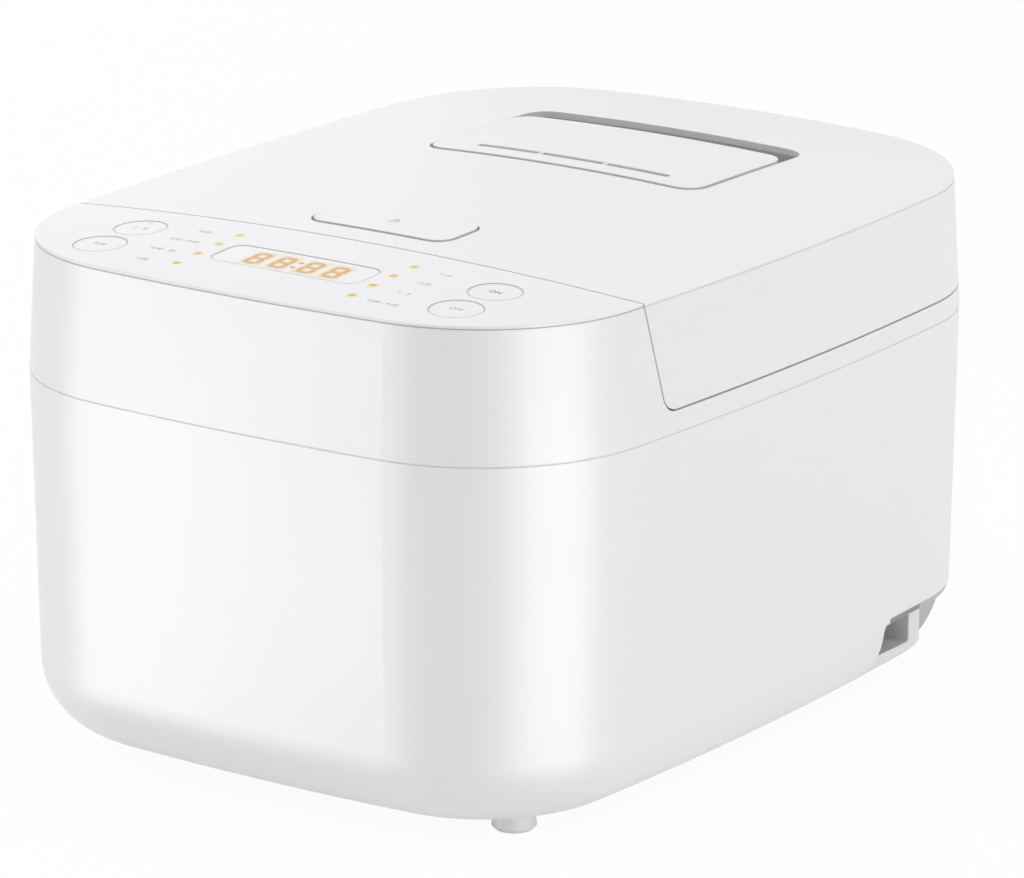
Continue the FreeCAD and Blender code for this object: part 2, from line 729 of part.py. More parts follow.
def hinge_ear():
    """The right knuckle on the frame, round about the hinge axis with a stem down to the deck."""
    reach = HINGE_RADIUS - FIT
    x0, x1 = HINGE_EAR_X, HINGE_EAR_X + HINGE_EAR_WIDTH
    knuckle = rod_x(reach, x0, x1, hinge_y, hinge_z)
    stem = box(x0, x1, hinge_y - reach, hinge_y, z_frame - WALL, hinge_z)
    return fuse_all([knuckle, stem]).common(upper_body(0))


def well_ring():
    """The recessed ring around the pot's rim."""
    inner = POT_RADIUS + POT_CLEAR
    outer = chamber_radius + CHAMBER_WALL + CHAMBER_FLANGE
    collar = well_radius + WELL_RING_WALL
    return turned([(inner, z_ring_low), (outer, z_ring_low), (outer, z_well_ring), (collar, z_well_ring),
                   (collar, z_frame), (well_radius, z_frame), (well_radius, z_well_ring),
                   (inner, z_well_ring)], pot_axis)


def latch_window():
    return box(-LATCH_WINDOW_HALF, LATCH_WINDOW_HALF, latch_y - 2 * NOSE_REACH, latch_y - NOSE_REACH / 2,
               nose_z - LATCH_WINDOW_LOW, nose_z + NOSE_TALL + LATCH_WINDOW_HIGH)


def upper_frame():
    wall = side_wall().cut(below(z_belt + SEAM_GAP / 2))
    deck = lid_side_view(LID_GAP + WALL).cut(lid_side_view(LID_GAP)).common(upper_body(WALL / 2))
    deep = WALL + FIT + LIP_WALL
    lip = plan_ring(WALL + FIT, deep, z_belt - LIP_TALL, z_belt + LIP_TALL)
    ledge = plan_ring(WALL / 2, deep, z_belt + SEAM_GAP, z_belt + LIP_TALL)
    body = fuse_all([wall.cut(lid_side_view(LID_GAP)), deck, lip, ledge])
    body = body.cut([over_skin(PANEL_WALL), rod(well_radius, 0, pot_y, z_belt, z_high)])
    body = fuse_all([body, well_ring()] + mirrored_pair(hinge_ear()))
    pin = rod_x(HINGE_PIN_RADIUS + PIN_FIT, -hinge_span, hinge_span, hinge_y, hinge_z)
    screws = [rod(SCREW_RADIUS + PIN_FIT, p.x, p.y, 0, z_ring_low + CHAMBER_SCREW_LENGTH)
              for p in chamber_screw_points]
    return body.cut([pin, latch_window()] + screws)


def inner_chamber():
    outer = chamber_radius + CHAMBER_WALL
    flange = outer + CHAMBER_FLANGE
    floor = z_chamber + CHAMBER_WALL
    body = turned([(chamber_hole_radius, z_chamber), (outer, z_chamber), (outer, z_ring_low - CHAMBER_WALL),
                   (flange, z_ring_low - CHAMBER_WALL), (flange, z_ring_low), (chamber_radius, z_ring_low),
                   (chamber_radius, floor), (chamber_hole_radius, floor)], pot_axis)
    holes = [rod(SCREW_RADIUS + SLIDE_FIT, p.x, p.y, 0, floor) for p in plate_legs]
    holes += [rod(SCREW_RADIUS + SLIDE_FIT, p.x, p.y, 0, far) for p in chamber_screw_points]
    return body.cut(holes)


def chamber_screws():
    z = z_ring_low - CHAMBER_WALL
    return Part.makeCompound([screw(p.x, p.y, z, CHAMBER_SCREW_LENGTH, SCREW_RADIUS, SCREW_HEAD_TALL)
                              for p in chamber_screw_points])


def heater_ring(radius):
    """The tube heater's ring, open over a short arc."""
    centre = Vector(HEATER_CIRCLE, pot_y, z_plate_low)
    face = Part.Face(Part.Wire([Part.Circle(centre, y_way, radius).toShape()]))
    face.rotate(pot_axis, z_way, (360 - HEATER_SWEEP) / 2)
    return face.revolve(pot_axis, z_way, HEATER_SWEEP)


def heating_plate():
    disc = tube(plate_radius, PLATE_HOLE_RADIUS, 0, pot_y, z_plate_low, z_plate)
    legs = [rod(PLATE_LEG_RADIUS, p.x, p.y, z_chamber + CHAMBER_WALL, z_plate) for p in plate_legs]
    tapped = [rod(SCREW_RADIUS + PIN_FIT, p.x, p.y, z_chamber, z_chamber + PLATE_SCREW_LENGTH + FIT)
              for p in plate_legs]
    return fuse_all([disc] + legs).cut([heater_ring(HEATER_RADIUS + PIN_FIT)] + tapped)


def heater_tube():
    half_gap = math.radians((360 - HEATER_SWEEP) / 2) + HEATER_RADIUS / HEATER_CIRCLE
    low = z_plate_low - HEATER_RADIUS - TERMINAL_LENGTH
    pins = []
    for sign in (-1, 1):
        x = HEATER_CIRCLE * math.cos(half_gap)
        y = pot_y + sign * HEATER_CIRCLE * math.sin(half_gap)
        pins.append(rod(TERMINAL_RADIUS, x, y, low, z_plate_low))
    return fuse_all([heater_ring(HEATER_RADIUS)] + pins)


def plate_screws():
    return Part.makeCompound([screw(p.x, p.y, z_chamber, PLATE_SCREW_LENGTH, SCREW_RADIUS,
                                    SCREW_HEAD_TALL) for p in plate_legs])


def thermal_fuse():
    z = z_plate_low - FUSE_RADIUS - PIN_FIT
    return rod_x(FUSE_RADIUS, -FUSE_LENGTH / 2, FUSE_LENGTH / 2, pot_y - FUSE_Y, z)


def keep_warm_band():
    inner = chamber_radius + CHAMBER_WALL + PIN_FIT
    face = Part.Face(Part.makePolygon([Vector(inner, pot_y, BAND_HEIGHT_LOW),
                                       Vector(inner + BAND_THICK, pot_y, BAND_HEIGHT_LOW),
                                       Vector(inner + BAND_THICK, pot_y, BAND_HEIGHT_LOW + BAND_WIDTH),
                                       Vector(inner, pot_y, BAND_HEIGHT_LOW + BAND_WIDTH),
                                       Vector(inner, pot_y, BAND_HEIGHT_LOW)]))
    return face.revolve(pot_axis, z_way, HEATER_SWEEP)


def sensor_holder():
    bore = SENSOR_STEM_RADIUS + SLIDE_FIT
    top = z_holder + HOLDER_THICK
    return fuse_all([tube(HOLDER_RADIUS, bore, 0, pot_y, z_holder, top),
                     tube(bore + HOLDER_TUBE_WALL, bore, 0, pot_y, z_holder, top + HOLDER_TUBE_TALL)])


def temperature_sensor():
    cap_low = z_plate - SENSOR_CAP_TALL
    cap = rod(SENSOR_RADIUS, 0, pot_y, cap_low, z_plate)
    stem = rod(SENSOR_STEM_RADIUS, 0, pot_y, z_cover + SENSOR_TRAVEL + SENSOR_FLOOR_AIR, cap_low)
    return fuse_all([cap, stem])


def sensor_spring():
    low = z_holder + HOLDER_THICK + SLIDE_FIT + SENSOR_SPRING_WIRE / 2
    high = z_plate - SENSOR_CAP_TALL - SLIDE_FIT - SENSOR_SPRING_WIRE / 2
    inner = SENSOR_STEM_RADIUS + SLIDE_FIT + HOLDER_TUBE_WALL
    pitch = (high - low) / SENSOR_SPRING_TURNS
    return helix_spring(inner + SENSOR_SPRING_AIR + SENSOR_SPRING_WIRE / 2, SENSOR_SPRING_WIRE,
                        SENSOR_SPRING_TURNS, pitch,
                        Vector(0, pot_y, low), z_way, x_way)


def inner_pot():
    inner = POT_RADIUS - POT_WALL
    corner = POT_ROUND * (1 - math.sqrt(0.5))
    inner_round = POT_ROUND - POT_WALL
    inner_corner = POT_WALL + inner_round * (1 - math.sqrt(0.5))

    def at(r, z):
        return Vector(r, 0, z) + pot_axis

    outer_arc = Part.Arc(at(POT_RADIUS - POT_ROUND, z_pot), at(POT_RADIUS - corner, z_pot + corner),
                         at(POT_RADIUS, z_pot + POT_ROUND)).toShape()
    inner_arc = Part.Arc(at(inner, z_pot + POT_ROUND), at(POT_RADIUS - inner_corner, z_pot + inner_corner),
                         at(POT_RADIUS - POT_ROUND, z_pot + POT_WALL)).toShape()
    rim_low = z_rim - POT_WALL
    outside = Part.makePolygon([at(POT_RADIUS, z_pot + POT_ROUND), at(POT_RADIUS, rim_low),
                                at(POT_RADIUS + POT_RIM, rim_low),
                                at(POT_RADIUS + POT_RIM, z_rim), at(inner, z_rim),
                                at(inner, z_pot + POT_ROUND)])
    inside = Part.makePolygon([at(POT_RADIUS - POT_ROUND, z_pot + POT_WALL), at(0, z_pot + POT_WALL),
                               at(0, z_pot),
                               at(POT_RADIUS - POT_ROUND, z_pot)])
    wire = Part.Wire([outer_arc] + outside.Edges + [inner_arc] + inside.Edges)
    return Part.Face(wire).revolve(pot_axis, z_way, 360)


def power_board():
    half = BOARD_WIDTH / 2
    low = z_cover + BOARD_LIFT
    return box(-half, half, board_y, board_y + BOARD_THICK, low, low + BOARD_TALL)


def board_block(size, x):
    """A boxy component on the front face of the power board."""
    wide, deep, tall = size
    low = z_cover + BOARD_LIFT + PART_LIFT
    return box(x - wide / 2, x + wide / 2, board_y - deep, board_y, low, low + tall)


def filter_capacitor():
    z = z_cover + BOARD_LIFT + PART_LIFT + CAPACITOR_RADIUS
    return Part.makeCylinder(CAPACITOR_RADIUS, CAPACITOR_LENGTH,
                             Vector(CAPACITOR_X, board_y - CAPACITOR_LENGTH, z), y_way)


def socket_middle():
    return Vector(inlet_face_x - SOCKET_DEPTH, socket_y, z_base + SOCKET_CENTRE_LIFT)


def power_inlet():
    space = notch_space(FIT)
    casing = lower_body(INLET_INSET, 0)
    left = notch_x + FIT
    block = box(left, inlet_face_x, notch_y, inlet_end_y, z_base, z_notch)
    edge = [e for e in block.Edges if abs(e.CenterOfMass.x - inlet_face_x) < 0.01
            and abs(e.CenterOfMass.y - inlet_end_y) < 0.01]
    block = block.makeFillet(INLET_EDGE_RADIUS, edge)
    ceiling = box(left, far, notch_y, far, z_notch - FIT - INLET_WALL, z_notch)
    end_wall = box(left, left + INLET_WALL, notch_y, far, z_base, z_notch)
    body = fuse_all([block, ceiling, end_wall]).common(space).common(casing)
    middle = socket_middle()
    socket = box(middle.x, far, middle.y - SOCKET_WIDTH / 2, middle.y + SOCKET_WIDTH / 2,
                 middle.z - SOCKET_TALL / 2, middle.z + SOCKET_TALL / 2)
    long_edges = [e for e in socket.Edges if abs(e.tangentAt(e.FirstParameter).x) > 0.9]
    return body.cut(socket.makeFillet(SOCKET_CORNER, long_edges))


def inlet_pins():
    middle = socket_middle()
    return Part.makeCompound([rod_x(INLET_PIN_RADIUS, middle.x, middle.x + INLET_PIN_LENGTH,
                                    middle.y + sign * INLET_PIN_PITCH / 2, middle.z) for sign in (-1, 1)])


def window_prism(grow):
    return rounded_prism(WINDOW_HALF + grow, window_y[0] - grow, window_y[1] + grow, WINDOW_CORNER + grow,
                         z_board, z_high)


def control_panel():
    plate = skin(PANEL_WALL).cut(lid_side_view(LID_GAP))
    bosses = [rod(PANEL_BOSS_RADIUS, x, y, z_board, z_high).common(crown_block(PANEL_WALL / 2)) for x,
              y in panel_boss_points]
    body = fuse_all([plate] + bosses)
    holes = [rod(KEY_RADIUS + KEY_GAP, x, y, z_board, z_high) for x, y in key_points.values()]
    holes += [rod(LIGHT_RADIUS + LIGHT_FIT, x, y, z_board, z_high) for x, y in light_points]
    holes += [rod(PANEL_SCREW_RADIUS + PIN_FIT, x, y, z_board, z_board + PANEL_SCREW_LENGTH) for x,
              y in panel_boss_points]
    return body.cut(holes + [window_prism(WINDOW_FIT)])


def display_window():
    return window_prism(0).common(top_plate(PANEL_WALL, FLUSH))


def display_module():
    half = WINDOW_HALF - MODULE_MARGIN
    front = window_y[0] + MODULE_MARGIN
    top = crown_height(half, front) - PANEL_WALL - FIT
    return box(-half, half, front, window_y[1] - MODULE_MARGIN, z_board, top)


def indicator_lights():
    return Part.makeCompound([rod(LIGHT_RADIUS, x, y, z_board, z_high).common(crown_block(FLUSH)) for x,
                              y in light_points])


def control_board():
    board = box(-control_board_half, control_board_half, control_board_front,
                control_board_front + CONTROL_BOARD_DEPTH, z_board - BOARD_THICK, z_board)
    return board.cut([rod(PANEL_SCREW_RADIUS + SLIDE_FIT, x, y, 0, far) for x, y in panel_boss_points])


def panel_screws():
    length = PANEL_SCREW_LENGTH + BOARD_THICK - FIT
    return Part.makeCompound([screw(x, y, z_board - BOARD_THICK, length, PANEL_SCREW_RADIUS,
                                    SCREW_HEAD_TALL)
                              for x, y in panel_boss_points])


def key_switches():
    half = SWITCH_SIZE / 2
    switches = []
    for x, y in key_points.values():
        body = box(x - half, x + half, y - half, y + half, z_board, z_board + SWITCH_TALL)
        switches.append(fuse_all([body, rod(PLUNGER_RADIUS, x, y, z_board, switch_top)]))
    return Part.makeCompound(switches)


def key(x, y):
    reach = KEY_RADIUS + KEY_FLANGE
    top = crown_height(abs(x) + reach, y - reach) - PANEL_WALL - KEY_GAP
    low = top - KEY_FLANGE_THICK
    button = rod(KEY_RADIUS, x, y, low, z_high).common(crown_block(FLUSH))
    flange = rod(reach, x, y, low, top)
    stem = rod(KEY_STEM_RADIUS, x, y, switch_top + KEY_TRAVEL + PIN_FIT, low)
    return fuse_all([button, flange, stem])


def latch_catch():
    sine = math.sin(math.radians(LID_LEAN))
    cosine = math.cos(math.radians(LID_LEAN))
    face = seam_y - LID_GAP - WALL
    rise = (seam_y - face) * sine

    def along(z):
        return z_part + (z - z_part + rise) / cosine

    half = LATCH_WINDOW_HALF + CATCH_MARGIN
    low = along(nose_z - LATCH_WINDOW_LOW) - CATCH_MARGIN
    high = along(nose_z + NOSE_TALL + LATCH_WINDOW_HIGH) + CATCH_MARGIN
    return lean(box(-half, half, face - CATCH_THICK, face, low, high)).cut(latch_window())


def hinge_pin():
    reach = HINGE_EAR_X + HINGE_EAR_WIDTH - HINGE_PIN_END
    return rod_x(HINGE_PIN_RADIUS, -reach, reach, hinge_y, hinge_z)


def hinge_spring():
    length = HINGE_SPRING_TURNS * HINGE_SPRING_PITCH
    return helix_spring(HINGE_SPRING_RADIUS, HINGE_SPRING_WIRE, HINGE_SPRING_TURNS, HINGE_SPRING_PITCH,
                        Vector(-length / 2, hinge_y, hinge_z), x_way, z_way)


def hinge_barrel():
    """The rounded lower rear edge of the lid, concentric with the hinge."""
    ring = rod_x(HINGE_RADIUS, -far, far, hinge_y, hinge_z).cut(rod_x(HINGE_RADIUS - HINGE_SKIN, -far,
                                                                      far, hinge_y, hinge_z))
    return ring.common(box(-far, far, hinge_y, far, 0, hinge_z)).common(upper_body(0))


def hinge_lug():
    """The right lid lug on the hinge pin, with a web up the rear wall."""
    x1 = HINGE_EAR_X - HINGE_EAR_FIT
    x0 = x1 - HINGE_LUG_WIDTH
    lug = rod_x(HINGE_LUG_RADIUS, x0, x1, hinge_y, hinge_z)
    web = box(x0, x1, hinge_y, far, hinge_z, hinge_z + HINGE_WEB_TALL).common(upper_body(WALL / 2))
    return fuse_all([lug, web])


def hinge_room():
    """What is cut from the lid around the hinge: the swept corner and the slots for the frame's knuckles."""
    corner = box(-far, far, hinge_y, far, 0, hinge_z).cut(rod_x(HINGE_RADIUS, -far, far, hinge_y, hinge_z))
    x0, x1 = HINGE_EAR_X - HINGE_EAR_FIT, hinge_span
    reach = HINGE_RADIUS + HINGE_EAR_FIT
    slot = fuse_all([rod_x(reach, x0, x1, hinge_y, hinge_z), box(x0, x1, hinge_y - reach, far, 0, hinge_z)])
    return [corner] + mirrored_pair(slot)


def lid_boss(x, y):
    """A screw boss inside the lid, ribbed to the side wall."""
    low = z_liner + LINER_WALL
    end = math.copysign(far, x)
    rib = box(min(x, end), max(x, end), y - LID_RIB / 2, y + LID_RIB / 2, low, low + LID_BOSS_TALL)
    return fuse_all([rod(SCREW_BOSS_RADIUS, x, y, low, low + LID_BOSS_TALL),
                     rib.common(upper_body(WALL / 2))])


def lid_side():
    wall = side_wall().common(lid_side_view(0))
    front = lid_side_view(0).cut(lid_side_view(-WALL)).common(upper_body(WALL / 2))
    front = front.common(box(-far, far, -far, lid_foot_y, 0, far))
    bosses = [lid_boss(x, y) for x, y in lid_boss_points]
    body = fuse_all([wall, front, hinge_barrel()] + mirrored_pair(hinge_lug()) + bosses)
    pin = rod_x(HINGE_PIN_RADIUS + PIN_FIT, -hinge_span, hinge_span, hinge_y, hinge_z)
    holes = [rod(SCREW_RADIUS + PIN_FIT, x, y, 0, z_liner + LID_SCREW_HEAD_TALL + LID_SCREW_LENGTH + FIT)
             for x, y in lid_boss_points]
    return body.cut([over_skin(LID_TOP_WALL), pin, latch_window()] + hinge_room() + holes)


def button_prism(grow, rear):
    return rounded_prism(BUTTON_HALF + grow, button_y[0] - grow, button_y[1] + rear, BUTTON_CORNER + grow,
                         z_part, z_high)


def steam_prism(grow, z_low):
    return rounded_prism(STEAM_HALF + grow, steam_y[0] - grow, steam_y[1] + grow, STEAM_CORNER + grow,
                         z_low, z_high)


def steam_space(grow, z_low, z_top):
    """The opening for the steam cap, with the finger recess behind it."""
    edge = STEAM_GAP + grow
    return rounded_prism(STEAM_HALF + edge, steam_y[0] - edge, steam_y[1] + RECESS_DEPTH + grow,
                         STEAM_CORNER + edge, z_low, z_top)


def button_ear():
    """The right ear under the lid top that carries the release button's pivot."""
    x0 = BUTTON_HALF + 2 * BUTTON_GAP
    low = button_pivot_z - BUTTON_LUG_RADIUS
    ear = box(x0, x0 + BUTTON_EAR_WIDTH, button_pivot_y - BUTTON_LUG_RADIUS,
              button_pivot_y + BUTTON_LUG_RADIUS, low, z_high)
    return ear.common(crown_block(LID_TOP_WALL / 2))


def lid_top():
    plate = skin(LID_TOP_WALL).common(lid_side_view(0))
    body = fuse_all([plate] + mirrored_pair(button_ear()))
    pivot = rod_x(BUTTON_PIN_RADIUS + PIN_FIT, -button_span, button_span, button_pivot_y, button_pivot_z)
    return body.cut([button_prism(BUTTON_GAP, BUTTON_GAP / 2), steam_space(0, z_seat, z_high), pivot])


def release_button():
    plate = button_prism(0, 0).common(top_plate(BUTTON_WALL, -PROUD))
    x1 = BUTTON_HALF - BUTTON_GAP
    x0 = x1 - BUTTON_LUG_WIDTH
    lug = box(x0, x1, button_pivot_y - BUTTON_LUG_RADIUS, button_y[1], button_pivot_z, z_high)
    lug = fuse_all([lug, rod_x(BUTTON_LUG_RADIUS, x0, x1, button_pivot_y, button_pivot_z)])
    footprint = rounded_prism(BUTTON_HALF, *button_y, BUTTON_CORNER, 0, z_high)
    lug = lug.common(crown_block(FLUSH + BUTTON_WALL / 2)).common(footprint)
    pin_end = button_span - 2 * FIT
    pin = rod_x(BUTTON_PIN_RADIUS, x0, pin_end, button_pivot_y, button_pivot_z)
    rib_y = latch_y - LATCH_ARM
    rib = box(-LATCH_HALF, LATCH_HALF, rib_y, rib_y + LATCH_PAD_WIDTH, pad_z + FIT, z_high)
    rib = rib.common(crown_block(FLUSH + BUTTON_WALL / 2))
    return fuse_all([plate, rib] + mirrored_pair(lug) + mirrored_pair(pin))


def latch_hook():
    y = latch_y
    hub = rod_x(LATCH_HUB_RADIUS, -LATCH_HALF, LATCH_HALF, y, latch_z)
    arm = box(-LATCH_HALF, LATCH_HALF, y - LATCH_ARM, y, latch_z, latch_z + LATCH_ARM_THICK)
    pad = box(-LATCH_HALF, LATCH_HALF, y - LATCH_ARM, y - LATCH_ARM + LATCH_PAD_WIDTH, latch_z, pad_z)
    back = y - LATCH_LEG_FORWARD
    leg = box(-LATCH_HALF, LATCH_HALF, back - LATCH_LEG_THICK, back, nose_z, latch_z)
    nose = box(-LATCH_HALF, LATCH_HALF, y - NOSE_REACH, back, nose_z, nose_z + NOSE_TALL)
    body = fuse_all([hub, arm, pad, leg, nose])
    return body.cut(rod_x(LATCH_PIN_RADIUS + PIN_FIT, -far, far, y, latch_z))


def latch_pin():
    reach = LATCH_HALF + LATCH_SPRING_ROOM + LATCH_EAR_WIDTH
    return rod_x(LATCH_PIN_RADIUS, -reach, reach, latch_y, latch_z)


def latch_spring():
    start = Vector(LATCH_HALF + FIT + LATCH_SPRING_WIRE / 2, latch_y, latch_z)
    return helix_spring(LATCH_SPRING_RADIUS, LATCH_SPRING_WIRE, LATCH_SPRING_TURNS, LATCH_SPRING_PITCH,
                        start, x_way, z_way)


def latch_ear():
    """The right ear on the liner that carries the latch pin."""
    x0 = LATCH_HALF + LATCH_SPRING_ROOM
    x1 = x0 + LATCH_EAR_WIDTH
    rear = pot_y - dish_radius + LINER_WALL / 2
    stem = box(x0, x1, lid_foot_y + FIT, rear, z_liner, latch_z)
    return fuse_all([stem, rod_x(LATCH_EAR_RADIUS, x0, x1, latch_y, latch_z)])


def duct_inner():
    return STEAM_SPOUT_RADIUS + SLIDE_FIT + GASKET_WALL + PIN_FIT


def lid_liner():
    plate = plan_prism(LINER_INSET, z_liner, z_liner + LINER_WALL)
    plate = plate.common(box(-far, far, lid_foot_y + FIT, hinge_y - HINGE_RADIUS - HINGE_EAR_FIT - FIT, 0,
                             far))
    dish = rod(dish_radius, 0, pot_y, z_liner, z_dish)
    duct = rod(duct_inner() + DUCT_WALL, 0, spout_y, z_dish - LINER_WALL, z_seat - STEAM_SEAT_WALL - FIT)
    body = fuse_all([plate, dish, duct] + mirrored_pair(latch_ear()))
    hollow = rod(dish_radius - LINER_WALL, 0, pot_y, 0, z_dish - LINER_WALL)
    bore = rod(duct_inner(), 0, spout_y, z_dish, far)
    steam_way = rod(STEAM_SPOUT_RADIUS - STEAM_SPOUT_WALL, 0, spout_y, 0, far)
    pin = rod_x(LATCH_PIN_RADIUS + PIN_FIT, -far, far, latch_y, latch_z)
    holes = [rod(SCREW_RADIUS + SLIDE_FIT, x, y, 0, far) for x, y in lid_boss_points]
    holes += [rod(SCREW_HEAD_RADIUS + SLIDE_FIT, x, y, 0, z_liner + LID_SCREW_HEAD_TALL) for x,
              y in lid_boss_points]
    body = body.cut([hollow, bore, steam_way, pin] + holes)
    post = rod(POST_RADIUS, 0, pot_y, z_inner_lid - GROMMET_FLANGE_THICK, z_dish)
    return fuse_all([body, post])


def lid_screws():
    z = z_liner + LID_SCREW_HEAD_TALL
    return Part.makeCompound([screw(x, y, z, LID_SCREW_LENGTH, SCREW_RADIUS, LID_SCREW_HEAD_TALL) for x,
                              y in lid_boss_points])


def inner_lid():
    disc = rod(inner_lid_radius, 0, pot_y, z_inner_lid, z_inner_lid + INNER_LID_THICK)
    holes = [rod(POST_RADIUS + SLIDE_FIT + GROMMET_WALL + PIN_FIT, 0, pot_y, 0, far)]
    holes.append(rod(LID_SENSOR_RADIUS + FIT, 0, lid_sensor_y, 0, far))
    for p in round_about(STEAM_HOLE_COUNT, STEAM_HOLE_CIRCLE, Vector(0, spout_y, 0), 0):
        holes.append(rod(STEAM_HOLE_RADIUS, p.x, p.y, 0, far))
    return disc.cut(holes)


def lid_seal():
    inner = inner_lid_radius + SLIDE_FIT
    low = z_rim + FIT
    lip = low + SEAL_LIP_THICK
    top = low + SEAL_TALL
    return turned([(inner, low), (inner + SEAL_LIP_REACH, low), (inner + SEAL_LIP_REACH, lip),
                   (inner + SEAL_BODY, lip),
                   (inner + SEAL_BODY, top), (inner, top)], pot_axis)


def lid_grommet():
    bore = POST_RADIUS + SLIDE_FIT
    neck = bore + GROMMET_WALL
    low = z_inner_lid - PIN_FIT
    high = z_inner_lid + INNER_LID_THICK + PIN_FIT
    flange = neck + GROMMET_FLANGE
    return turned([(bore, low - GROMMET_FLANGE_THICK), (flange, low - GROMMET_FLANGE_THICK),
                   (flange, low), (neck, low),
                   (neck, high), (flange, high), (flange, high + GROMMET_FLANGE_THICK),
                   (bore, high + GROMMET_FLANGE_THICK)],
                  pot_axis)


def lid_sensor():
    top = z_dish - LINER_WALL
    probe = rod(LID_SENSOR_RADIUS, 0, lid_sensor_y, z_inner_lid - LID_SENSOR_FLANGE / 2, top)
    flange = rod(LID_SENSOR_RADIUS + LID_SENSOR_FLANGE, 0, lid_sensor_y, top - LID_SENSOR_FLANGE / 2, top)
    return fuse_all([probe, flange])


def steam_seat():
    low = z_seat - STEAM_SEAT_WALL
    outer = steam_space(STEAM_SEAT_WALL, low, z_high)
    shelf = steam_space(STEAM_SEAT_WALL, z_seat, z_crown - RECESS_SHELF_DROP)
    shelf = shelf.cut(steam_prism(STEAM_GAP, z_seat))
    body = fuse_all([outer.cut(steam_space(0, z_seat, z_high)), shelf])
    body = body.common(upper_body(LID_TOP_WALL + PIN_FIT))
    return body.cut(rod(STEAM_SPOUT_RADIUS + 2 * FIT, 0, spout_y, 0, far))


def steam_cap():
    plate = steam_prism(0, z_seat).common(top_plate(STEAM_CAP_WALL, -PROUD))
    inset = STEAM_CUP_INSET + STEAM_CUP_WALL + FIT
    low = z_seat + FIT + 2 * STEAM_CUP_WALL
    skirt = steam_prism(-inset, low).cut(steam_prism(-inset - STEAM_SKIRT_WALL, low))
    skirt = skirt.common(crown_block(FLUSH + STEAM_CAP_WALL / 2))
    slot_y = steam_y[0] + STEAM_SLOT_INSET
    slots = []
    for step in (-1, 0, 1):
        x = step * STEAM_SLOT_STEP
        slots.append(box(x - STEAM_SLOT_LENGTH / 2, x + STEAM_SLOT_LENGTH / 2,
                         slot_y - STEAM_SLOT_WIDTH / 2,
                         slot_y + STEAM_SLOT_WIDTH / 2, z_seat, z_high))
    return fuse_all([plate, skirt]).cut(slots)


def steam_cup():
    low = z_seat + FIT
    tray = steam_prism(-STEAM_CUP_INSET, low).cut(steam_prism(-STEAM_CUP_INSET - STEAM_CUP_WALL,
                                                              low + STEAM_CUP_WALL))
    tray = tray.cut(above(low + STEAM_CUP_TALL))
    spout = rod(STEAM_SPOUT_RADIUS, 0, spout_y, low - STEAM_SPOUT_DROP, low + STEAM_CUP_WALL)
    bore = rod(STEAM_SPOUT_RADIUS - STEAM_SPOUT_WALL, 0, spout_y, 0, far)
    return fuse_all([tray, spout]).cut(bore)


def steam_gasket():
    inner = STEAM_SPOUT_RADIUS + SLIDE_FIT
    return tube(inner + GASKET_WALL, inner, 0, spout_y, z_dish, z_dish + GASKET_TALL)


def all_parts():
    """Every piece by its node name."""
    single_pieces = [
        outer_shell, base_cover, base_screws, upper_frame, inner_chamber, chamber_screws, heating_plate,
        heater_tube, plate_screws, thermal_fuse, keep_warm_band, sensor_holder, temperature_sensor,
        sensor_spring, inner_pot, power_board, filter_capacitor, power_inlet, inlet_pins, control_panel,
        display_window, display_module, indicator_lights, control_board, panel_screws, key_switches,
        latch_catch, hinge_pin, hinge_spring, lid_side, lid_top, lid_liner, lid_screws, inner_lid, lid_seal,
        lid_grommet, lid_sensor, release_button, latch_hook, latch_pin, latch_spring, steam_seat, steam_cap,
        steam_cup, steam_gasket]
    pieces = {make.__name__: make() for make in single_pieces}
    pieces["power_transformer"] = board_block(TRANSFORMER, TRANSFORMER_X)
    pieces["power_relay"] = board_block(RELAY, RELAY_X)
    for name, (x, y) in foot_points.items():
        pieces[name] = foot(x, y)
    for name, (x, y) in key_points.items():
        pieces[name] = key(x, y)
    return pieces


os.makedirs("parts", exist_ok=True)
for node, shape in all_parts().items():
    shape.exportStep("parts/" + node + ".step")
    print(node, len(shape.Solids), "solids", round(shape.Volume / 1000, 2), "cm3", shape.isValid())
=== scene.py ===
# %% [markdown]
# # A white table-top rice cooker
# The construction arrives as a fixed frame of CAD pieces, each at its real size and place, in metres.
# This lesson gives those pieces their finishes, adds the thin printed and lit marks that a CAD model
# leaves out, and sets up a bright studio. Nothing in the frame is moved or resized.

# %% Load the frame
import json
import math

import bmesh
import bpy
from mathutils import Matrix, Vector
from mathutils.bvhtree import BVHTree


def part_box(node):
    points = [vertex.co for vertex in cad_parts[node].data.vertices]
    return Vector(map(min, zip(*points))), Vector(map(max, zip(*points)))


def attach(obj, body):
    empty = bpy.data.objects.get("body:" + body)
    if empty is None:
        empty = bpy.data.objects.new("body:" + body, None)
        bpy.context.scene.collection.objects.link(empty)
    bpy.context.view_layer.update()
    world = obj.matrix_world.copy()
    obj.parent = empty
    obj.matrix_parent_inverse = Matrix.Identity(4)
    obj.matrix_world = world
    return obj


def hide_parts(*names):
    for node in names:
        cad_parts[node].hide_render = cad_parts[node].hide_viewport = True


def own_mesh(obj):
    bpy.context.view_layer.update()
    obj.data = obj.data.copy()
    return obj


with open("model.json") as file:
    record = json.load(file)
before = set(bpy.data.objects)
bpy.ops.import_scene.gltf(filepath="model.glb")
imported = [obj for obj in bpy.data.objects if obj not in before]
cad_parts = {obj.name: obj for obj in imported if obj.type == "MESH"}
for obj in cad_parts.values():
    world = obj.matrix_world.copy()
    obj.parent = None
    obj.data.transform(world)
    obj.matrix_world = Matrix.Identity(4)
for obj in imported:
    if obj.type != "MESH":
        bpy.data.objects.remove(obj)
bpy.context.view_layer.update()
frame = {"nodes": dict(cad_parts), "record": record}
MM = 0.001

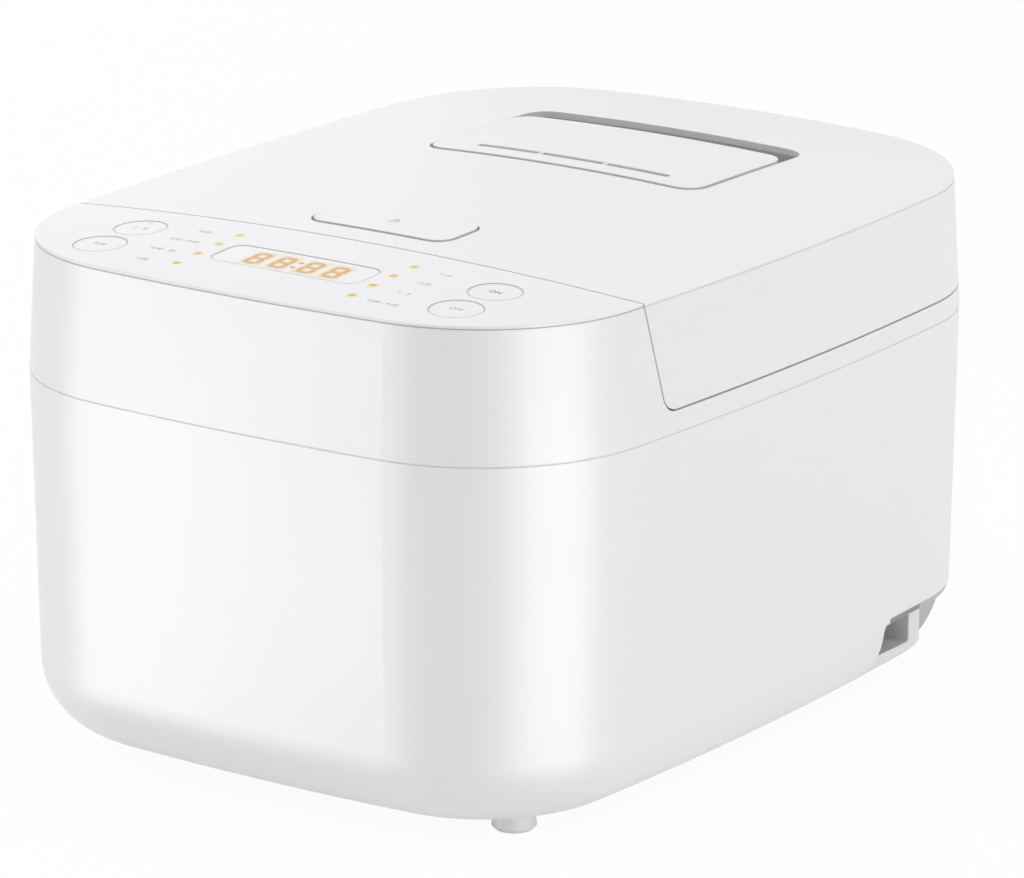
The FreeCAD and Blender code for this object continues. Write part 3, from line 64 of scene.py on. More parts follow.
# %% [markdown]
# ## The view
# A product shot is taken from far away with a long lens, so upright edges stay almost parallel. The
# camera could be placed by eye, but here it is worked out from two angles and a distance, so that it can
# be checked against measured corners of the object. The image is 1024 by 878 pixels.

# %% Camera
AZIMUTH = 35.1241
ELEVATION = 16.1776
DISTANCE = 2387.52 * MM
AIM = Vector((2.785, 1.959, 99.94)) * MM
FOCAL_PIXELS = 6500
IMAGE_WIDTH = 1024
SENSOR = 36.0


def direction(azimuth, elevation):
    """The way out to a place, from its degrees round from the front and above the table."""
    turn = math.radians(azimuth)
    rise = math.radians(elevation)
    return Vector((math.sin(turn) * math.cos(rise), -math.cos(turn) * math.cos(rise), math.sin(rise)))


back = direction(AZIMUTH, ELEVATION)
camera = bpy.data.objects.new("camera", bpy.data.cameras.new("camera"))
camera.data.sensor_width = SENSOR
camera.data.lens = FOCAL_PIXELS / IMAGE_WIDTH * SENSOR
camera.location = AIM + back * DISTANCE
camera.rotation_euler = (-back).to_track_quat("-Z", "Y").to_euler()
bpy.context.scene.collection.objects.link(camera)
bpy.context.scene.camera = camera
print("camera at", tuple(round(c, 3) for c in camera.location), "lens", round(camera.data.lens, 1), "mm")

# %% [markdown]
# ## Shaders as sums
# A finish is a small network of nodes. Linking them one by one is slow to read, so a socket is wrapped
# in a class with the usual operators: an expression such as `0.3 + 0.05 * cloud` then adds the Math nodes
# by itself.

# %% Sockets that can be added and multiplied
class Wire:
    """An output socket of a shader that takes part in plain sums."""

    def __init__(self, paint, socket):
        self.paint = paint
        self.socket = socket

    def __add__(self, other):
        return self.paint.sum("ADD", self, other)

    def __sub__(self, other):
        return self.paint.sum("SUBTRACT", self, other)

    def __rsub__(self, other):
        return self.paint.sum("SUBTRACT", other, self)

    def __mul__(self, other):
        return self.paint.sum("MULTIPLY", self, other)

    def __gt__(self, other):
        return self.paint.sum("GREATER_THAN", self, other)

    def __lt__(self, other):
        return self.paint.sum("LESS_THAN", self, other)

    def __pow__(self, other):
        return self.paint.sum("POWER", self, other)

    def __abs__(self):
        return self.paint.sum("ABSOLUTE", self, 0.0)

    __radd__ = __add__
    __rmul__ = __mul__


# %% [markdown]
# ## A material in the making
# Every node comes from one method, which takes its type, its settings and its sockets. The short methods
# after it only name what many finishes share: coordinates, noise, bump, ramps and blends of colour.

# %% Materials
BEVEL_SAMPLES = 6


def rgb(red, green, blue):
    return (red, green, blue, 1.0)


class Paint:
    """A material being mixed: a principled shader and the nodes that feed it."""

    def __init__(self, name):
        self.material = bpy.data.materials.new(name)
        self.material.use_nodes = True
        self.tree = self.material.node_tree
        self.shader = self.tree.nodes["Principled BSDF"]

    def node(self, kind, settings=(), sockets=(), output=0):
        made = self.tree.nodes.new("ShaderNode" + kind)
        for name, value in dict(settings).items():
            setattr(made, name, value)
        for name, value in dict(sockets).items():
            self.feed(made.inputs[name], value)
        return Wire(self, made.outputs[output])

    def feed(self, socket, value):
        if isinstance(value, Wire):
            self.tree.links.new(value.socket, socket)
        else:
            socket.default_value = value

    def sum(self, operation, first, second):
        return self.node("Math", {"operation": operation}, {0: first, 1: second})

    def blend(self, factor, first, second):
        """A mix of two colours: the node's sockets 6 and 7, and its output 2."""
        return self.node("Mix", {"data_type": "RGBA"}, {"Factor": factor, 6: first, 7: second}, 2)

    def darkened(self, colour, pattern, share):
        """A colour that goes down to a share of itself where a pattern is low."""
        return self.blend(pattern, rgb(*(share * c for c in colour)), rgb(*colour))

    def ramp(self, value, start, end, first=0.0, last=1.0):
        """A level that goes from first to last while a value goes from start to end."""
        return self.node("MapRange", sockets={
            "Value": value, "From Min": start, "From Max": end, "To Min": first, "To Max": last})

    def place(self):
        return self.node("TexCoord", output="Object")

    def split(self, vector, axis):
        return self.node("SeparateXYZ", sockets={0: vector}, output=axis)

    def noise(self, scale, detail, stretch=(1, 1, 1)):
        place = self.node("Mapping", sockets={"Vector": self.place(), "Scale": stretch})
        return self.node("TexNoise", sockets={"Vector": place, "Scale": scale, "Detail": detail})

    def bump(self, height, depth, edge=0.0):
        """A relief, on edges that look rounded by a radius where one is given."""
        sockets = {"Height": height, "Distance": depth}
        if edge:
            sockets["Normal"] = self.node("Bevel", {"samples": BEVEL_SAMPLES}, {"Radius": edge})
        return self.node("Bump", sockets=sockets)

    def shade(self, sockets):
        for name, value in sockets.items():
            self.feed(self.shader.inputs[name], value)
        return self.material


# %% [markdown]
# ## Sums that come back
# The length of a flat offset and a gloss that swings about a middle are sums of wires as well.

# %% Common sums
def flat_length(across, along):
    """How far a flat offset reaches."""
    return (across * across + along * along) ** 0.5


def varied(middle, pattern, swing):
    """A value that a pattern between 0 and 1 moves up and down about a middle."""
    return middle + swing * (pattern - 0.5)


# %% [markdown]
# ## The floor
# The cooker stands in a white room. To the camera, and in mirror-like reflections, the floor glows white
# and shows only a faint shadow. Soft light meets a plain white surface instead. A Mix Shader node chooses
# between the two by the kind of ray that arrives.

# %% Floor
FLOOR_HALF = 15.0
FLOOR_GLOW = 0.95
SEEN_RAYS = ("Is Camera Ray", "Is Glossy Ray", "Is Transmission Ray")


def seen_directly(paint):
    """1 for rays from the camera and for mirror or glass rays, else 0."""
    path = paint.tree.nodes.new("ShaderNodeLightPath")
    rays = [Wire(paint, path.outputs[kind]) for kind in SEEN_RAYS]
    return paint.node("Clamp", sockets={"Value": rays[0] + rays[1] + rays[2]})


def make_floor():
    shape = bmesh.new()
    bmesh.ops.create_grid(shape, x_segments=1, y_segments=1, size=FLOOR_HALF)
    made = bpy.data.objects.new("floor", bpy.data.meshes.new("floor"))
    shape.to_mesh(made.data)
    shape.free()
    paint = Paint("floor_white")
    surface = paint.shade({"Base Color": rgb(0.86, 0.86, 0.86), "Roughness": 0.9})
    glow = paint.node("Emission", sockets={"Color": rgb(1, 1, 1), "Strength": 1.0})
    factor = FLOOR_GLOW * seen_directly(paint)
    plain = Wire(paint, paint.shader.outputs[0])
    mix = paint.node("MixShader", sockets={0: factor, 1: plain, 2: glow})
    paint.feed(paint.tree.nodes["Material Output"].inputs["Surface"], mix)
    made.data.materials.append(surface)
    bpy.context.scene.collection.objects.link(made)
    return made


floor = make_floor()
print("floor:", 2 * FLOOR_HALF, "m square")

# %% [markdown]
# ## The surround
# An even white world lies round the table. The camera sees it as full white, while the object gets less
# light from it, which leaves the lamps something to shape.

# %% Surround
SURROUND = 0.62


def make_surround():
    world = bpy.data.worlds.new("studio")
    bpy.context.scene.world = world
    world.use_nodes = True
    tree = world.node_tree
    path = tree.nodes.new("ShaderNodeLightPath")
    level = tree.nodes.new("ShaderNodeMapRange")
    level.inputs["To Min"].default_value = SURROUND
    level.inputs["To Max"].default_value = 1.0
    tree.links.new(path.outputs["Is Camera Ray"], level.inputs["Value"])
    background = tree.nodes["Background"]
    background.inputs["Color"].default_value = rgb(1, 1, 1)
    tree.links.new(level.outputs["Result"], background.inputs["Strength"])


make_surround()
bpy.context.scene.view_settings.view_transform = "Standard"
print("surround:", SURROUND, "of white")

# %% [markdown]
# ## The lamps
# A white object on white is drawn only by its shading, so the lamps stay low: one above, and weak ones
# round the sides, which leave the rounded front corner in between a little darker. The flat lid would
# mirror those as a white patch at a low view, so they give soft light only, and a weak panel gives the lid
# a sheen instead. The bright sheen on the front and past the corner is a reflection as well. The walls are
# upright and the camera looks down on them, so they mirror what lies below the table's level. Two glow
# panels hang there, seen only in reflections, and the floor is left out of what blocks them. A weak lamp
# below lights the rounded underside, as a pale table does in a real studio. Each line at the end gives
# the degrees round and above, the distance, the size and the power of one lamp.

# %% Lamps
LAMP_AIM = Vector((0, 0, 0.1))


def make_lamp(name, azimuth, elevation, distance, size, power, soft=True, sheen=True):
    """A soft box that faces the object, for its soft light, its reflection or both."""
    lamp = bpy.data.objects.new(name, bpy.data.lights.new(name, "AREA"))
    lamp.data.shape = "RECTANGLE"
    lamp.data.size, lamp.data.size_y = size
    lamp.data.energy = power
    way = direction(azimuth, elevation)
    lamp.location = LAMP_AIM + way * distance
    lamp.rotation_euler = way.to_track_quat("Z", "Y").to_euler()
    lamp.visible_camera = False
    lamp.visible_diffuse = soft
    lamp.visible_glossy = sheen
    bpy.context.scene.collection.objects.link(lamp)
    return lamp


def make_glow(name, *setting, soft=False, sheen=True):
    """A panel below the table's level, which the floor doesn't block."""
    lamp = make_lamp(name, *setting, soft=soft, sheen=sheen)
    passed = bpy.data.collections.new(name + "_passes")
    passed.objects.link(floor)
    passed.collection_objects[0].light_linking.link_state = "EXCLUDE"
    lamp.light_linking.blocker_collection = passed


make_lamp("top_box", 10, 82, 2.0, (1.8, 1.8), 16)
make_lamp("left_box", -70, 18, 2.0, (1.0, 1.0), 4.7, sheen=False)
make_lamp("right_box", 110, 18, 2.0, (1.0, 1.0), 7.5, sheen=False)
make_lamp("rear_box", 245, 16, 1.8, (1.2, 0.7), 4, sheen=False)
make_lamp("rear_sheen", 236, 17, 1.8, (1.2, 0.7), 1.6, soft=False)
make_glow("front_glow", -36, -12, 1.25, (0.92, 0.68), 12.9)
make_glow("side_glow", 73, -13, 1.25, (1.0, 0.82), 16.2)
make_glow("under_glow", 20, -62, 1.6, (1.6, 1.6), 1.6, soft=True, sheen=False)
print("lamps:", ", ".join(lamp.name for lamp in bpy.data.lights))

# %% [markdown]
# ## White casing plastic
# The casing is moulded in a glossy white plastic with a satin bloom. A plain white would look like paper,
# so the colour drifts by a hair, the gloss varies a little as on a real moulding, and a fine grain breaks
# up the highlights. A Bevel node rounds the look of the crisp CAD edges, which catch a thin light line.
# A list of patches can lay other tones over it, each where its mask is 1: below they are painted shade and
# painted glow.

# %% Moulded plastics
EDGE_LOOK = 0.35 * MM
WHITE = (0.84, 0.84, 0.855)
CASING_ROUGH = 0.42
CASING_GRAIN = 0.004 * MM


def moulded_plastic(name, colour, roughness, grain_depth, patches=()):
    """A moulded plastic: slow drift of colour and gloss, fine grain and eased edges."""
    paint = Paint(name)
    drift = paint.noise(scale=22, detail=3)
    grain = paint.noise(scale=2400, detail=2)
    tone = paint.darkened(colour, drift, share=0.975)
    for mask, other in patches:
        tone = paint.blend(mask(paint), tone, rgb(*other))
    return paint.shade({
        "Base Color": tone,
        "Roughness": varied(roughness, drift, swing=0.08),
        "Normal": paint.bump(grain, grain_depth, EDGE_LOOK),
        "IOR": 1.5,
    })


def white_casing(name, patches=()):
    return moulded_plastic(name, WHITE, CASING_ROUGH, CASING_GRAIN, patches)


casing_white = white_casing("casing_white")
liner_white = moulded_plastic("liner_white", (0.74, 0.74, 0.75), 0.5, 0.012 * MM)
socket_grey = moulded_plastic("socket_grey", (0.42, 0.42, 0.43), 0.55, 0.02 * MM)
hook_white = moulded_plastic("hook_white", (0.66, 0.66, 0.66), 0.5, 0.012 * MM)
component_black = moulded_plastic("component_black", (0.02, 0.02, 0.022), 0.5, 0.02 * MM)
print("plastics:", casing_white.name, liner_white.name, socket_grey.name, hook_white.name)

# %% [markdown]
# ## Masks for walls
# Some pieces get painted shade on walls that lie in shadow: a grey over the white. A mask on the object's
# own coordinates picks them out, so the mesh needs no second material. This one is a rounded rectangle of
# the plan, a hair larger or smaller than the walls it is for.

# %% Rounded masks
WALL_MARGIN = 0.06 * MM


def middle_of(node):
    """The place of a CAD node's middle in the plan."""
    low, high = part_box(node)
    return (low.x + high.x) / 2, (low.y + high.y) / 2


def within_rounded(paint, y, half, corner):
    """1 inside a rounded rectangle of the plan and on its walls, else 0."""
    place = paint.place()
    across = paint.sum("MAXIMUM", abs(paint.split(place, "X")) - (half[0] - corner), 0.0)
    along = paint.sum("MAXIMUM", abs(paint.split(place, "Y") - y) - (half[1] - corner), 0.0)
    return flat_length(across, along) < corner + WALL_MARGIN


def side_walls(node, half_wide, corner):
    """A mask that is 1 on the side walls of a rounded CAD node."""
    low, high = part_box(node)
    half = (half_wide - 2 * WALL_MARGIN, (high.y - low.y) / 2 - 2 * WALL_MARGIN)

    def mask(paint):
        return 1 - within_rounded(paint, middle_of(node)[1], half, corner)

    return mask


# %% [markdown]
# ## Painted shade on walls in the lid's top
# The walls of the finger recess behind the steam cap, and the sides of the cap and of the release button,
# lie in shadow in their gaps, and that shade is painted on them as a grey.

# %% Lid, cap and button
WALL_SHADE_GREY = (0.66, 0.66, 0.67)
STEAM_GAP = 1.2 * MM
STEAM_CORNER = 8.0 * MM
RECESS_DEPTH = 13.5 * MM
BUTTON_HALF = 30.0 * MM
BUTTON_CORNER = 7.0 * MM
cap_low, cap_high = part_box("steam_cap")


def recess_wall_shade(paint):
    """1 on the walls of the finger recess behind the steam cap, where shade is painted."""
    rear = cap_high.y + RECESS_DEPTH
    front = cap_low.y - STEAM_GAP
    half = (cap_high.x + STEAM_GAP, (rear - front) / 2)
    opening = within_rounded(paint, (front + rear) / 2, half, STEAM_CORNER + STEAM_GAP)
    return opening * (paint.split(paint.place(), "Y") > cap_high.y)


# The sides of the cap and of the button get the same painted shade.
cap_side_shade = side_walls("steam_cap", cap_high.x, STEAM_CORNER)
button_side_shade = side_walls("release_button", BUTTON_HALF, BUTTON_CORNER)
# Copies of the white casing, with painted shade on those walls.
lid_white_painted_shade = white_casing("lid_white_painted_shade", [(recess_wall_shade, WALL_SHADE_GREY)])
cap_white_painted_shade = white_casing("cap_white_painted_shade", [(cap_side_shade, WALL_SHADE_GREY)])
button_white_painted_shade = white_casing("button_white_painted_shade", [(button_side_shade, WALL_SHADE_GREY)])
print("with grey walls:", lid_white_painted_shade.name, cap_white_painted_shade.name, button_white_painted_shade.name)

# %% [markdown]
# ## Power socket
# The inlet stands in a notch of the casing. Its socket, the strip above the socket and the space behind it,
# where the connector is put in, lie in shade, and that shade is painted: grey inside the socket, dark on the
# strip and a middle grey behind. Masks find these walls too.

# %% Masks for the socket
SOCKET_HALF_WIDTH = 11.25 * MM
SOCKET_HALF_TALL = 6.75 * MM
SOCKET_FROM_NOTCH = 16.5 * MM
SOCKET_CENTRE_LIFT = 19.8 * MM
SOCKET_BLOCK_LENGTH = 38.5 * MM
SOCKET_FACE_INSET = 10.0 * MM
MID_SHADE_GREY = (0.5, 0.5, 0.51)
DARK_SHADE_GREY = (0.26, 0.26, 0.27)
shell_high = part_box("outer_shell")[1]
notch_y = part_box("power_inlet")[0].y
socket_y = notch_y + SOCKET_FROM_NOTCH
socket_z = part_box("base_cover")[0].z + SOCKET_CENTRE_LIFT


def beside_socket(paint):
    """1 over the width of the socket that the mains connector goes into."""
    return abs(paint.split(paint.place(), "Y") - socket_y) < SOCKET_HALF_WIDTH + WALL_MARGIN


def socket_wall_shade(paint):
    """1 inside the socket, where a grey shade is painted."""
    lift = abs(paint.split(paint.place(), "Z") - socket_z)
    return beside_socket(paint) * (lift < SOCKET_HALF_TALL + WALL_MARGIN)


def over_socket_shade(paint):
    """1 on the strip between the socket and the ceiling of its notch, where a dark shade is painted."""
    return beside_socket(paint) * (paint.split(paint.place(), "Z") > socket_z + SOCKET_HALF_TALL)


def plug_space_shade(paint):
    """1 on the walls behind the socket's block and on the ceiling past the socket, where a middle-grey shade
    is painted.
    """
    place = paint.place()
    along = paint.split(place, "Y")
    behind = along > notch_y + SOCKET_BLOCK_LENGTH
    past = along > socket_y + SOCKET_HALF_WIDTH
    ceiling = paint.split(place, "X") > shell_high.x - SOCKET_FACE_INSET + WALL_MARGIN
    return paint.sum("MAXIMUM", behind, past * ceiling)


# Painted shade inside the socket, on the strip above it and in the space behind it.
inlet_painted_shades = [(socket_wall_shade, WALL_SHADE_GREY), (over_socket_shade, DARK_SHADE_GREY), (plug_space_shade, MID_SHADE_GREY)]
inlet_white_painted_shade = moulded_plastic("inlet_white_painted_shade", (0.8, 0.8, 0.81), 0.4, 0.01 * MM, inlet_painted_shades)
print("inlet:", inlet_white_painted_shade.name, "with", len(inlet_painted_shades), "more tones")

# %% [markdown]
# ## Rubber and silicone
# The feet and seals are soft: they have no sharp highlight, and dust and moulding leave a fine mottle.

# %% Soft finishes
def soft_rubber(name, colour, roughness):
    paint = Paint(name)
    mottle = paint.noise(scale=380, detail=4)
    skin = paint.noise(scale=1500, detail=2)
    return paint.shade({
        "Base Color": paint.darkened(colour, mottle, share=0.93),
        "Roughness": varied(roughness, mottle, swing=0.1),
        "Normal": paint.bump(skin, 0.03 * MM, EDGE_LOOK),
    })


foot_rubber = soft_rubber("foot_rubber", (0.93, 0.93, 0.93), 0.62)
seal_silicone = soft_rubber("seal_silicone", (0.62, 0.62, 0.6), 0.45)
print("soft:", foot_rubber.name, seal_silicone.name)

# %% [markdown]
# ## Drawn metals
# Metal shows how it was worked. Drawn steel has long scratches along the pull: noise that is stretched along
# one direction, and used for the bump and for the gloss.

# %% Drawn metals
METAL_STAIN = 0.9


def drawn_metal(name, colour, roughness, stretch):
    """A metal with fine scratches, long along the axis that is stretched least."""
    paint = Paint(name)
    scratch = paint.noise(scale=700, detail=4, stretch=stretch)
    stain = paint.noise(scale=30, detail=3)
    return paint.shade({
        "Base Color": paint.darkened(colour, stain, METAL_STAIN),
        "Metallic": 1.0,
        "Roughness": varied(roughness, scratch, swing=0.16),
        "Normal": paint.bump(scratch, 0.012 * MM, EDGE_LOOK),
    })


fastener_steel = drawn_metal("fastener_steel", (0.58, 0.58, 0.6), 0.3, (1, 1, 0.2))
chamber_steel = drawn_metal("chamber_steel", (0.66, 0.66, 0.67), 0.34, (1, 1, 0.03))
heater_steel = drawn_metal("heater_steel", (0.24, 0.2, 0.17), 0.4, (1, 1, 0.2))
pin_brass = drawn_metal("pin_brass", (0.78, 0.6, 0.27), 0.28, (0.1, 1, 1))
print("drawn:", fastener_steel.name, chamber_steel.name, heater_steel.name, pin_brass.name)

# %% [markdown]
# ## Turned metals
# A plate turned on a lathe has fine rings. Their noise depends only on the distance from the pot's axis,
# which the sums above give.

# %% Turned metals
pot_low, pot_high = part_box("inner_pot")
pot_middle = (pot_low + pot_high) / 2


def turned_metal(name, colour, roughness):
    """A metal turned on a lathe about the pot's axis."""
    paint = Paint(name)
    place = paint.node("Mapping", sockets={"Vector": paint.place(), "Location": (0, -pot_middle.y, 0)})
    reach = flat_length(paint.split(place, "X"), paint.split(place, "Y"))
    rings = paint.node("TexNoise", {"noise_dimensions": "1D"}, {"W": reach, "Scale": 2600, "Detail": 3})
    stain = paint.noise(scale=40, detail=3)
    return paint.shade({
        "Base Color": paint.darkened(colour, stain, METAL_STAIN),
        "Metallic": 1.0,
        "Roughness": varied(roughness, rings, swing=0.14),
        "Normal": paint.bump(rings, 0.02 * MM, EDGE_LOOK),
    })


plate_aluminium = turned_metal("plate_aluminium", (0.7, 0.7, 0.71), 0.36)
inner_lid_aluminium = turned_metal("inner_lid_aluminium", (0.74, 0.74, 0.75), 0.3)
print("turned:", plate_aluminium.name, inner_lid_aluminium.name)

# %% [markdown]
# ## The pot's coating
# The pot is aluminium with a dark non-stick coating. The coating holds small pale flakes, and the flat rim
# is left bright where the lid's seal presses on it. A height test on the object's own coordinates parts
# the two.

# %% Pot finish
RIM_TALL = 1.7 * MM
FLAKE_SIZE = 0.16
FLAKE_SHARE = 0.55


def coated_pot():
    paint = Paint("pot_coating")
    bare = paint.split(paint.place(), "Z") > pot_high.z - RIM_TALL
    cells = paint.node("TexVoronoi", sockets={"Vector": paint.place(), "Scale": 420})
    flake = (cells < FLAKE_SIZE) * FLAKE_SHARE
    texture = paint.noise(scale=900, detail=3)
    coat = paint.blend(flake, rgb(0.035, 0.035, 0.038), rgb(0.3, 0.29, 0.27))
    return paint.shade({
        "Base Color": paint.blend(bare, coat, rgb(0.68, 0.68, 0.69)),
        "Metallic": bare,
        "Roughness": varied(0.42, texture, swing=0.1),
        "Normal": paint.bump(texture, 0.02 * MM, EDGE_LOOK),
    })


pot_coating = coated_pot()
print("pot:", pot_coating.name, "with a bright rim of", round(RIM_TALL / MM, 1), "mm")

# %% [markdown]
# ## Circuit boards
# The boards are hidden in use, but the model can be taken apart, so they get the green varnish over copper
# tracks that such boards have. A brick pattern makes the tracks.

# %% Board finish
def circuit_board():
    paint = Paint("board_green")
    tracks = paint.node("TexBrick", {"offset": 0.37}, {
        "Vector": paint.place(), "Scale": 90, "Mortar Size": 0.03,
        "Color1": rgb(0, 0, 0), "Color2": rgb(0, 0, 0), "Mortar": rgb(1, 1, 1)}, output="Fac")
    return paint.shade({
        "Base Color": paint.blend(tracks, rgb(0.02, 0.11, 0.05), rgb(0.06, 0.24, 0.1)),
        "Roughness": 0.4 - 0.12 * tracks,
        "Normal": paint.bump(tracks, 0.03 * MM),
    })


board_green = circuit_board()
print("boards:", board_green.name)

# %% [markdown]
# ## Lights in the panel
# The eight small lights run from yellow at the rear to orange at the front, so their colour is mixed along
# the depth of the panel. Where they would shine a little way into the white plastic around them, a warm halo
# is painted on the panel at each, as painted light. The lights repeat, so one folded distance serves them
# all.

# %% Lights and the panel around them
LIGHT_RADIUS = 1.35 * MM
LIGHT_COUNT = 4
HALO_REACH = 3.6 * MM
HALO_SHARE = 0.6
lights_low, lights_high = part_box("indicator_lights")
light_first = lights_high.y - LIGHT_RADIUS
light_pitch = (lights_high.y - lights_low.y - 2 * LIGHT_RADIUS) / (LIGHT_COUNT - 1)


def lit(paint, glow, roughness):
    """A finish that shines in its own colour."""
    return paint.shade({
        "Base Color": glow, "Emission Color": glow, "Emission Strength": 1.0, "Roughness": roughness})


def lit_lens():
    paint = Paint("light_amber")
    share = paint.ramp(paint.split(paint.place(), "Y"), lights_low.y, lights_high.y)
    return lit(paint, paint.blend(share, rgb(0.36, 0.2, 0.08), rgb(0.33, 0.27, 0.08)), roughness=0.3)


def painted_light_halo(paint):
    """A painted glow around each light, where it would shine into the panel."""
    place = paint.place()
    depth = paint.split(place, "Y")
    across = abs(paint.split(place, "X")) - (lights_high.x - LIGHT_RADIUS)
    along = paint.sum("PINGPONG", depth - light_first, light_pitch / 2)
    share = paint.ramp(flat_length(across, along), LIGHT_RADIUS, HALO_REACH, first=HALO_SHARE, last=0.0)
    return share * (abs(depth - (lights_low.y + lights_high.y) / 2) < 2 * light_pitch)


light_amber = lit_lens()
# The panel is the white casing with the painted glow of the lights mixed into its colour.
panel_white_painted_glow = white_casing("panel_white_painted_glow", [(painted_light_halo, (0.86, 0.78, 0.4))])
print("lights:", light_amber.name, "every", round(light_pitch / MM, 1), "mm on", panel_white_painted_glow.name)

# %% [markdown]
# ## The display window
# The window is a thin white plate, glossier than the panel, that the clock's figures shine through. Their
# warm light beside the lit bars is painted into its colour as a painted glow. The row of figures is folded
# about its middle and about the middle of a pair, so that the outline of one figure serves all four.

# %% Window and digits
FIGURE_TALL = 10.2 * MM
FIGURE_WIDE = 5.0 * MM
FIGURE_PITCH = 10.8 * MM
COLON_EXTRA = 1.4 * MM
BAR_WIDE = 1.75 * MM
CLOCK_SHIFT = 1.5 * MM
CLOCK_LOWERED = 1.0 * MM
GLOW_REACH = 3.0 * MM
GLOW_SHARE = 0.8
window_y = middle_of("display_window")[1]
clock_y = window_y - CLOCK_LOWERED


def painted_clock_glow(paint):
    """A painted glow on the window beside the lit bars."""
    place = paint.place()
    from_pair = abs(abs(paint.split(place, "X") - CLOCK_SHIFT) - FIGURE_PITCH - COLON_EXTRA / 2)
    across = abs(from_pair - FIGURE_PITCH / 2) - FIGURE_WIDE / 2
    along = abs(paint.split(place, "Y") - clock_y) - FIGURE_TALL / 2
    from_bars = abs(paint.sum("MAXIMUM", across, along))
    return paint.ramp(from_bars, BAR_WIDE / 2, GLOW_REACH, first=GLOW_SHARE, last=0.0)


def lit_digit():
    paint = Paint("digit_orange")
    patch = paint.noise(scale=300, detail=2)
    return lit(paint, paint.blend(patch, rgb(0.325, 0.185, 0.06), rgb(0.345, 0.22, 0.085)), roughness=0.4)


digit_orange = lit_digit()
# The window's warm tint beside the bars is painted light.
window_clear = moulded_plastic("window_clear", WHITE, 0.3, 0.002 * MM, [(painted_clock_glow, (0.78, 0.63, 0.4))])
print("display:", digit_orange.name, "on", window_clear.name)

# %% [markdown]
# ## Dress the frame
# Each CAD node carries the name of a material slot in its record. One table from slot to finish dresses
# them all, so no piece is left with the grey of the import. A second table holds the few pieces with a
# finish of their own.

# %% Give every node its finish
finishes = {
    "casing_white": casing_white, "foot_rubber": foot_rubber, "liner_plastic": liner_white,
    "grey_plastic": socket_grey, "steel": fastener_steel, "chamber_steel": chamber_steel,
    "plate_aluminium": plate_aluminium, "heater_steel": heater_steel, "pot_coating": pot_coating,
    "seal_rubber": seal_silicone, "board_green": board_green, "component_black": component_black,
    "pin_brass": pin_brass, "window_clear": window_clear, "light_amber": light_amber,
    "latch_plastic": hook_white,
}
own_finishes = {
    "lid_top": lid_white_painted_shade, "steam_cap": cap_white_painted_shade, "release_button": button_white_painted_shade,
    "power_inlet": inlet_white_painted_shade, "inner_lid": inner_lid_aluminium, "control_panel": panel_white_painted_glow,
}
for part in frame["record"]["subparts"]:
    node = frame["nodes"][part["node"]]
    node.data.materials.clear()
    node.data.materials.append(own_finishes.get(part["node"], finishes[part["material_slot"]]))

# %% [markdown]
# ## New pieces
# The frame's own pieces are dressed. What is added from here on has a mesh of its own, and has to say which
# body it moves with and which finish it takes.

# %% From a shape to a piece
def add_piece(name, shape, finish, body):
    """Turns a finished shape into an object that rides on a body."""
    mesh = bpy.data.meshes.new(name)
    shape.to_mesh(mesh)
    shape.free()
    mesh.materials.append(finish)
    piece = bpy.data.objects.new(name, mesh)
    bpy.context.scene.collection.objects.link(piece)
    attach(piece, body)
    print(name, "has", len(mesh.polygons), "faces and rides on", body)
    return piece


# %% [markdown]
# ## Films on a surface
# Prints and lit figures are films a few hundredths of a millimetre thick. Each is drawn flat, at its place
# in the plan, then thickened, and at last let down on the curved surface by casting a ray from above every
# point. A shrinkwrap modifier could do that too, but the rays leave a plain mesh that needs no target
# later.

# %% From a flat shape to a film
FILM = 0.06 * MM
FILM_SUNK = 0.02 * MM
ABOVE_ALL = 1.0
DOWN = Vector((0, 0, -1))


def thicken(shape):
    """Gives flat faces the thickness of a film."""
    made = bmesh.ops.extrude_face_region(shape, geom=shape.faces[:], use_keep_orig=True)
    raised = [item for item in made["geom"] if isinstance(item, bmesh.types.BMVert)]
    bmesh.ops.translate(shape, verts=raised, vec=(0, 0, FILM))
    bmesh.ops.recalc_face_normals(shape, faces=shape.faces[:])


def surface_tree(node):
    carrier = bmesh.new()
    carrier.from_mesh(frame["nodes"][node].data)
    tree = BVHTree.FromBMesh(carrier)
    carrier.free()
    return tree


def lay_down(shape, node):
    """Lets a shape down on the top of a CAD node, point by point, or level with the rim over a gap."""
    tree = surface_tree(node)
    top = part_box(node)[1].z
    for vert in shape.verts:
        spot = tree.ray_cast(Vector((vert.co.x, vert.co.y, ABOVE_ALL)), DOWN)[0]
        if spot is None:
            rim = tree.find_nearest(Vector((vert.co.x, vert.co.y, top)))[0]
            spot = tree.find_nearest(Vector((vert.co.x, vert.co.y, rim.z)))[0]
        vert.co.z += spot.z - FILM_SUNK


def add_film(name, shape, node, finish, body):
    """Makes a flat shape a film on the top of a CAD node."""
    thicken(shape)
    lay_down(shape, node)
    add_piece(name, shape, finish, body)


# %% [markdown]
# ## Flat shapes to draw with
# Three functions draw most of the marks: a bar with pointed ends, a dot, and a line of text. A dot with
# three sides is a triangle. A text object has to be made a mesh before its place can be applied.

# %% Bars, dots and text
BAR_CORNERS = 6
DOT_SIDES = 20


def stroke(shape, x, y, length, width, upright):
    """A flat bar with pointed ends: a hexagon pulled out along its length."""
    radius = width / math.sqrt(3)
    corners = bmesh.ops.create_circle(shape, cap_ends=True, segments=BAR_CORNERS, radius=radius)["verts"]
    for corner in corners:
        corner.co.y += math.copysign(length / 2 - radius, corner.co.y)
    if not upright:
        bmesh.ops.rotate(shape, verts=corners, cent=(0, 0, 0), matrix=Matrix.Rotation(math.pi / 2, 3, "Z"))
    bmesh.ops.translate(shape, verts=corners, vec=(x, y, 0))


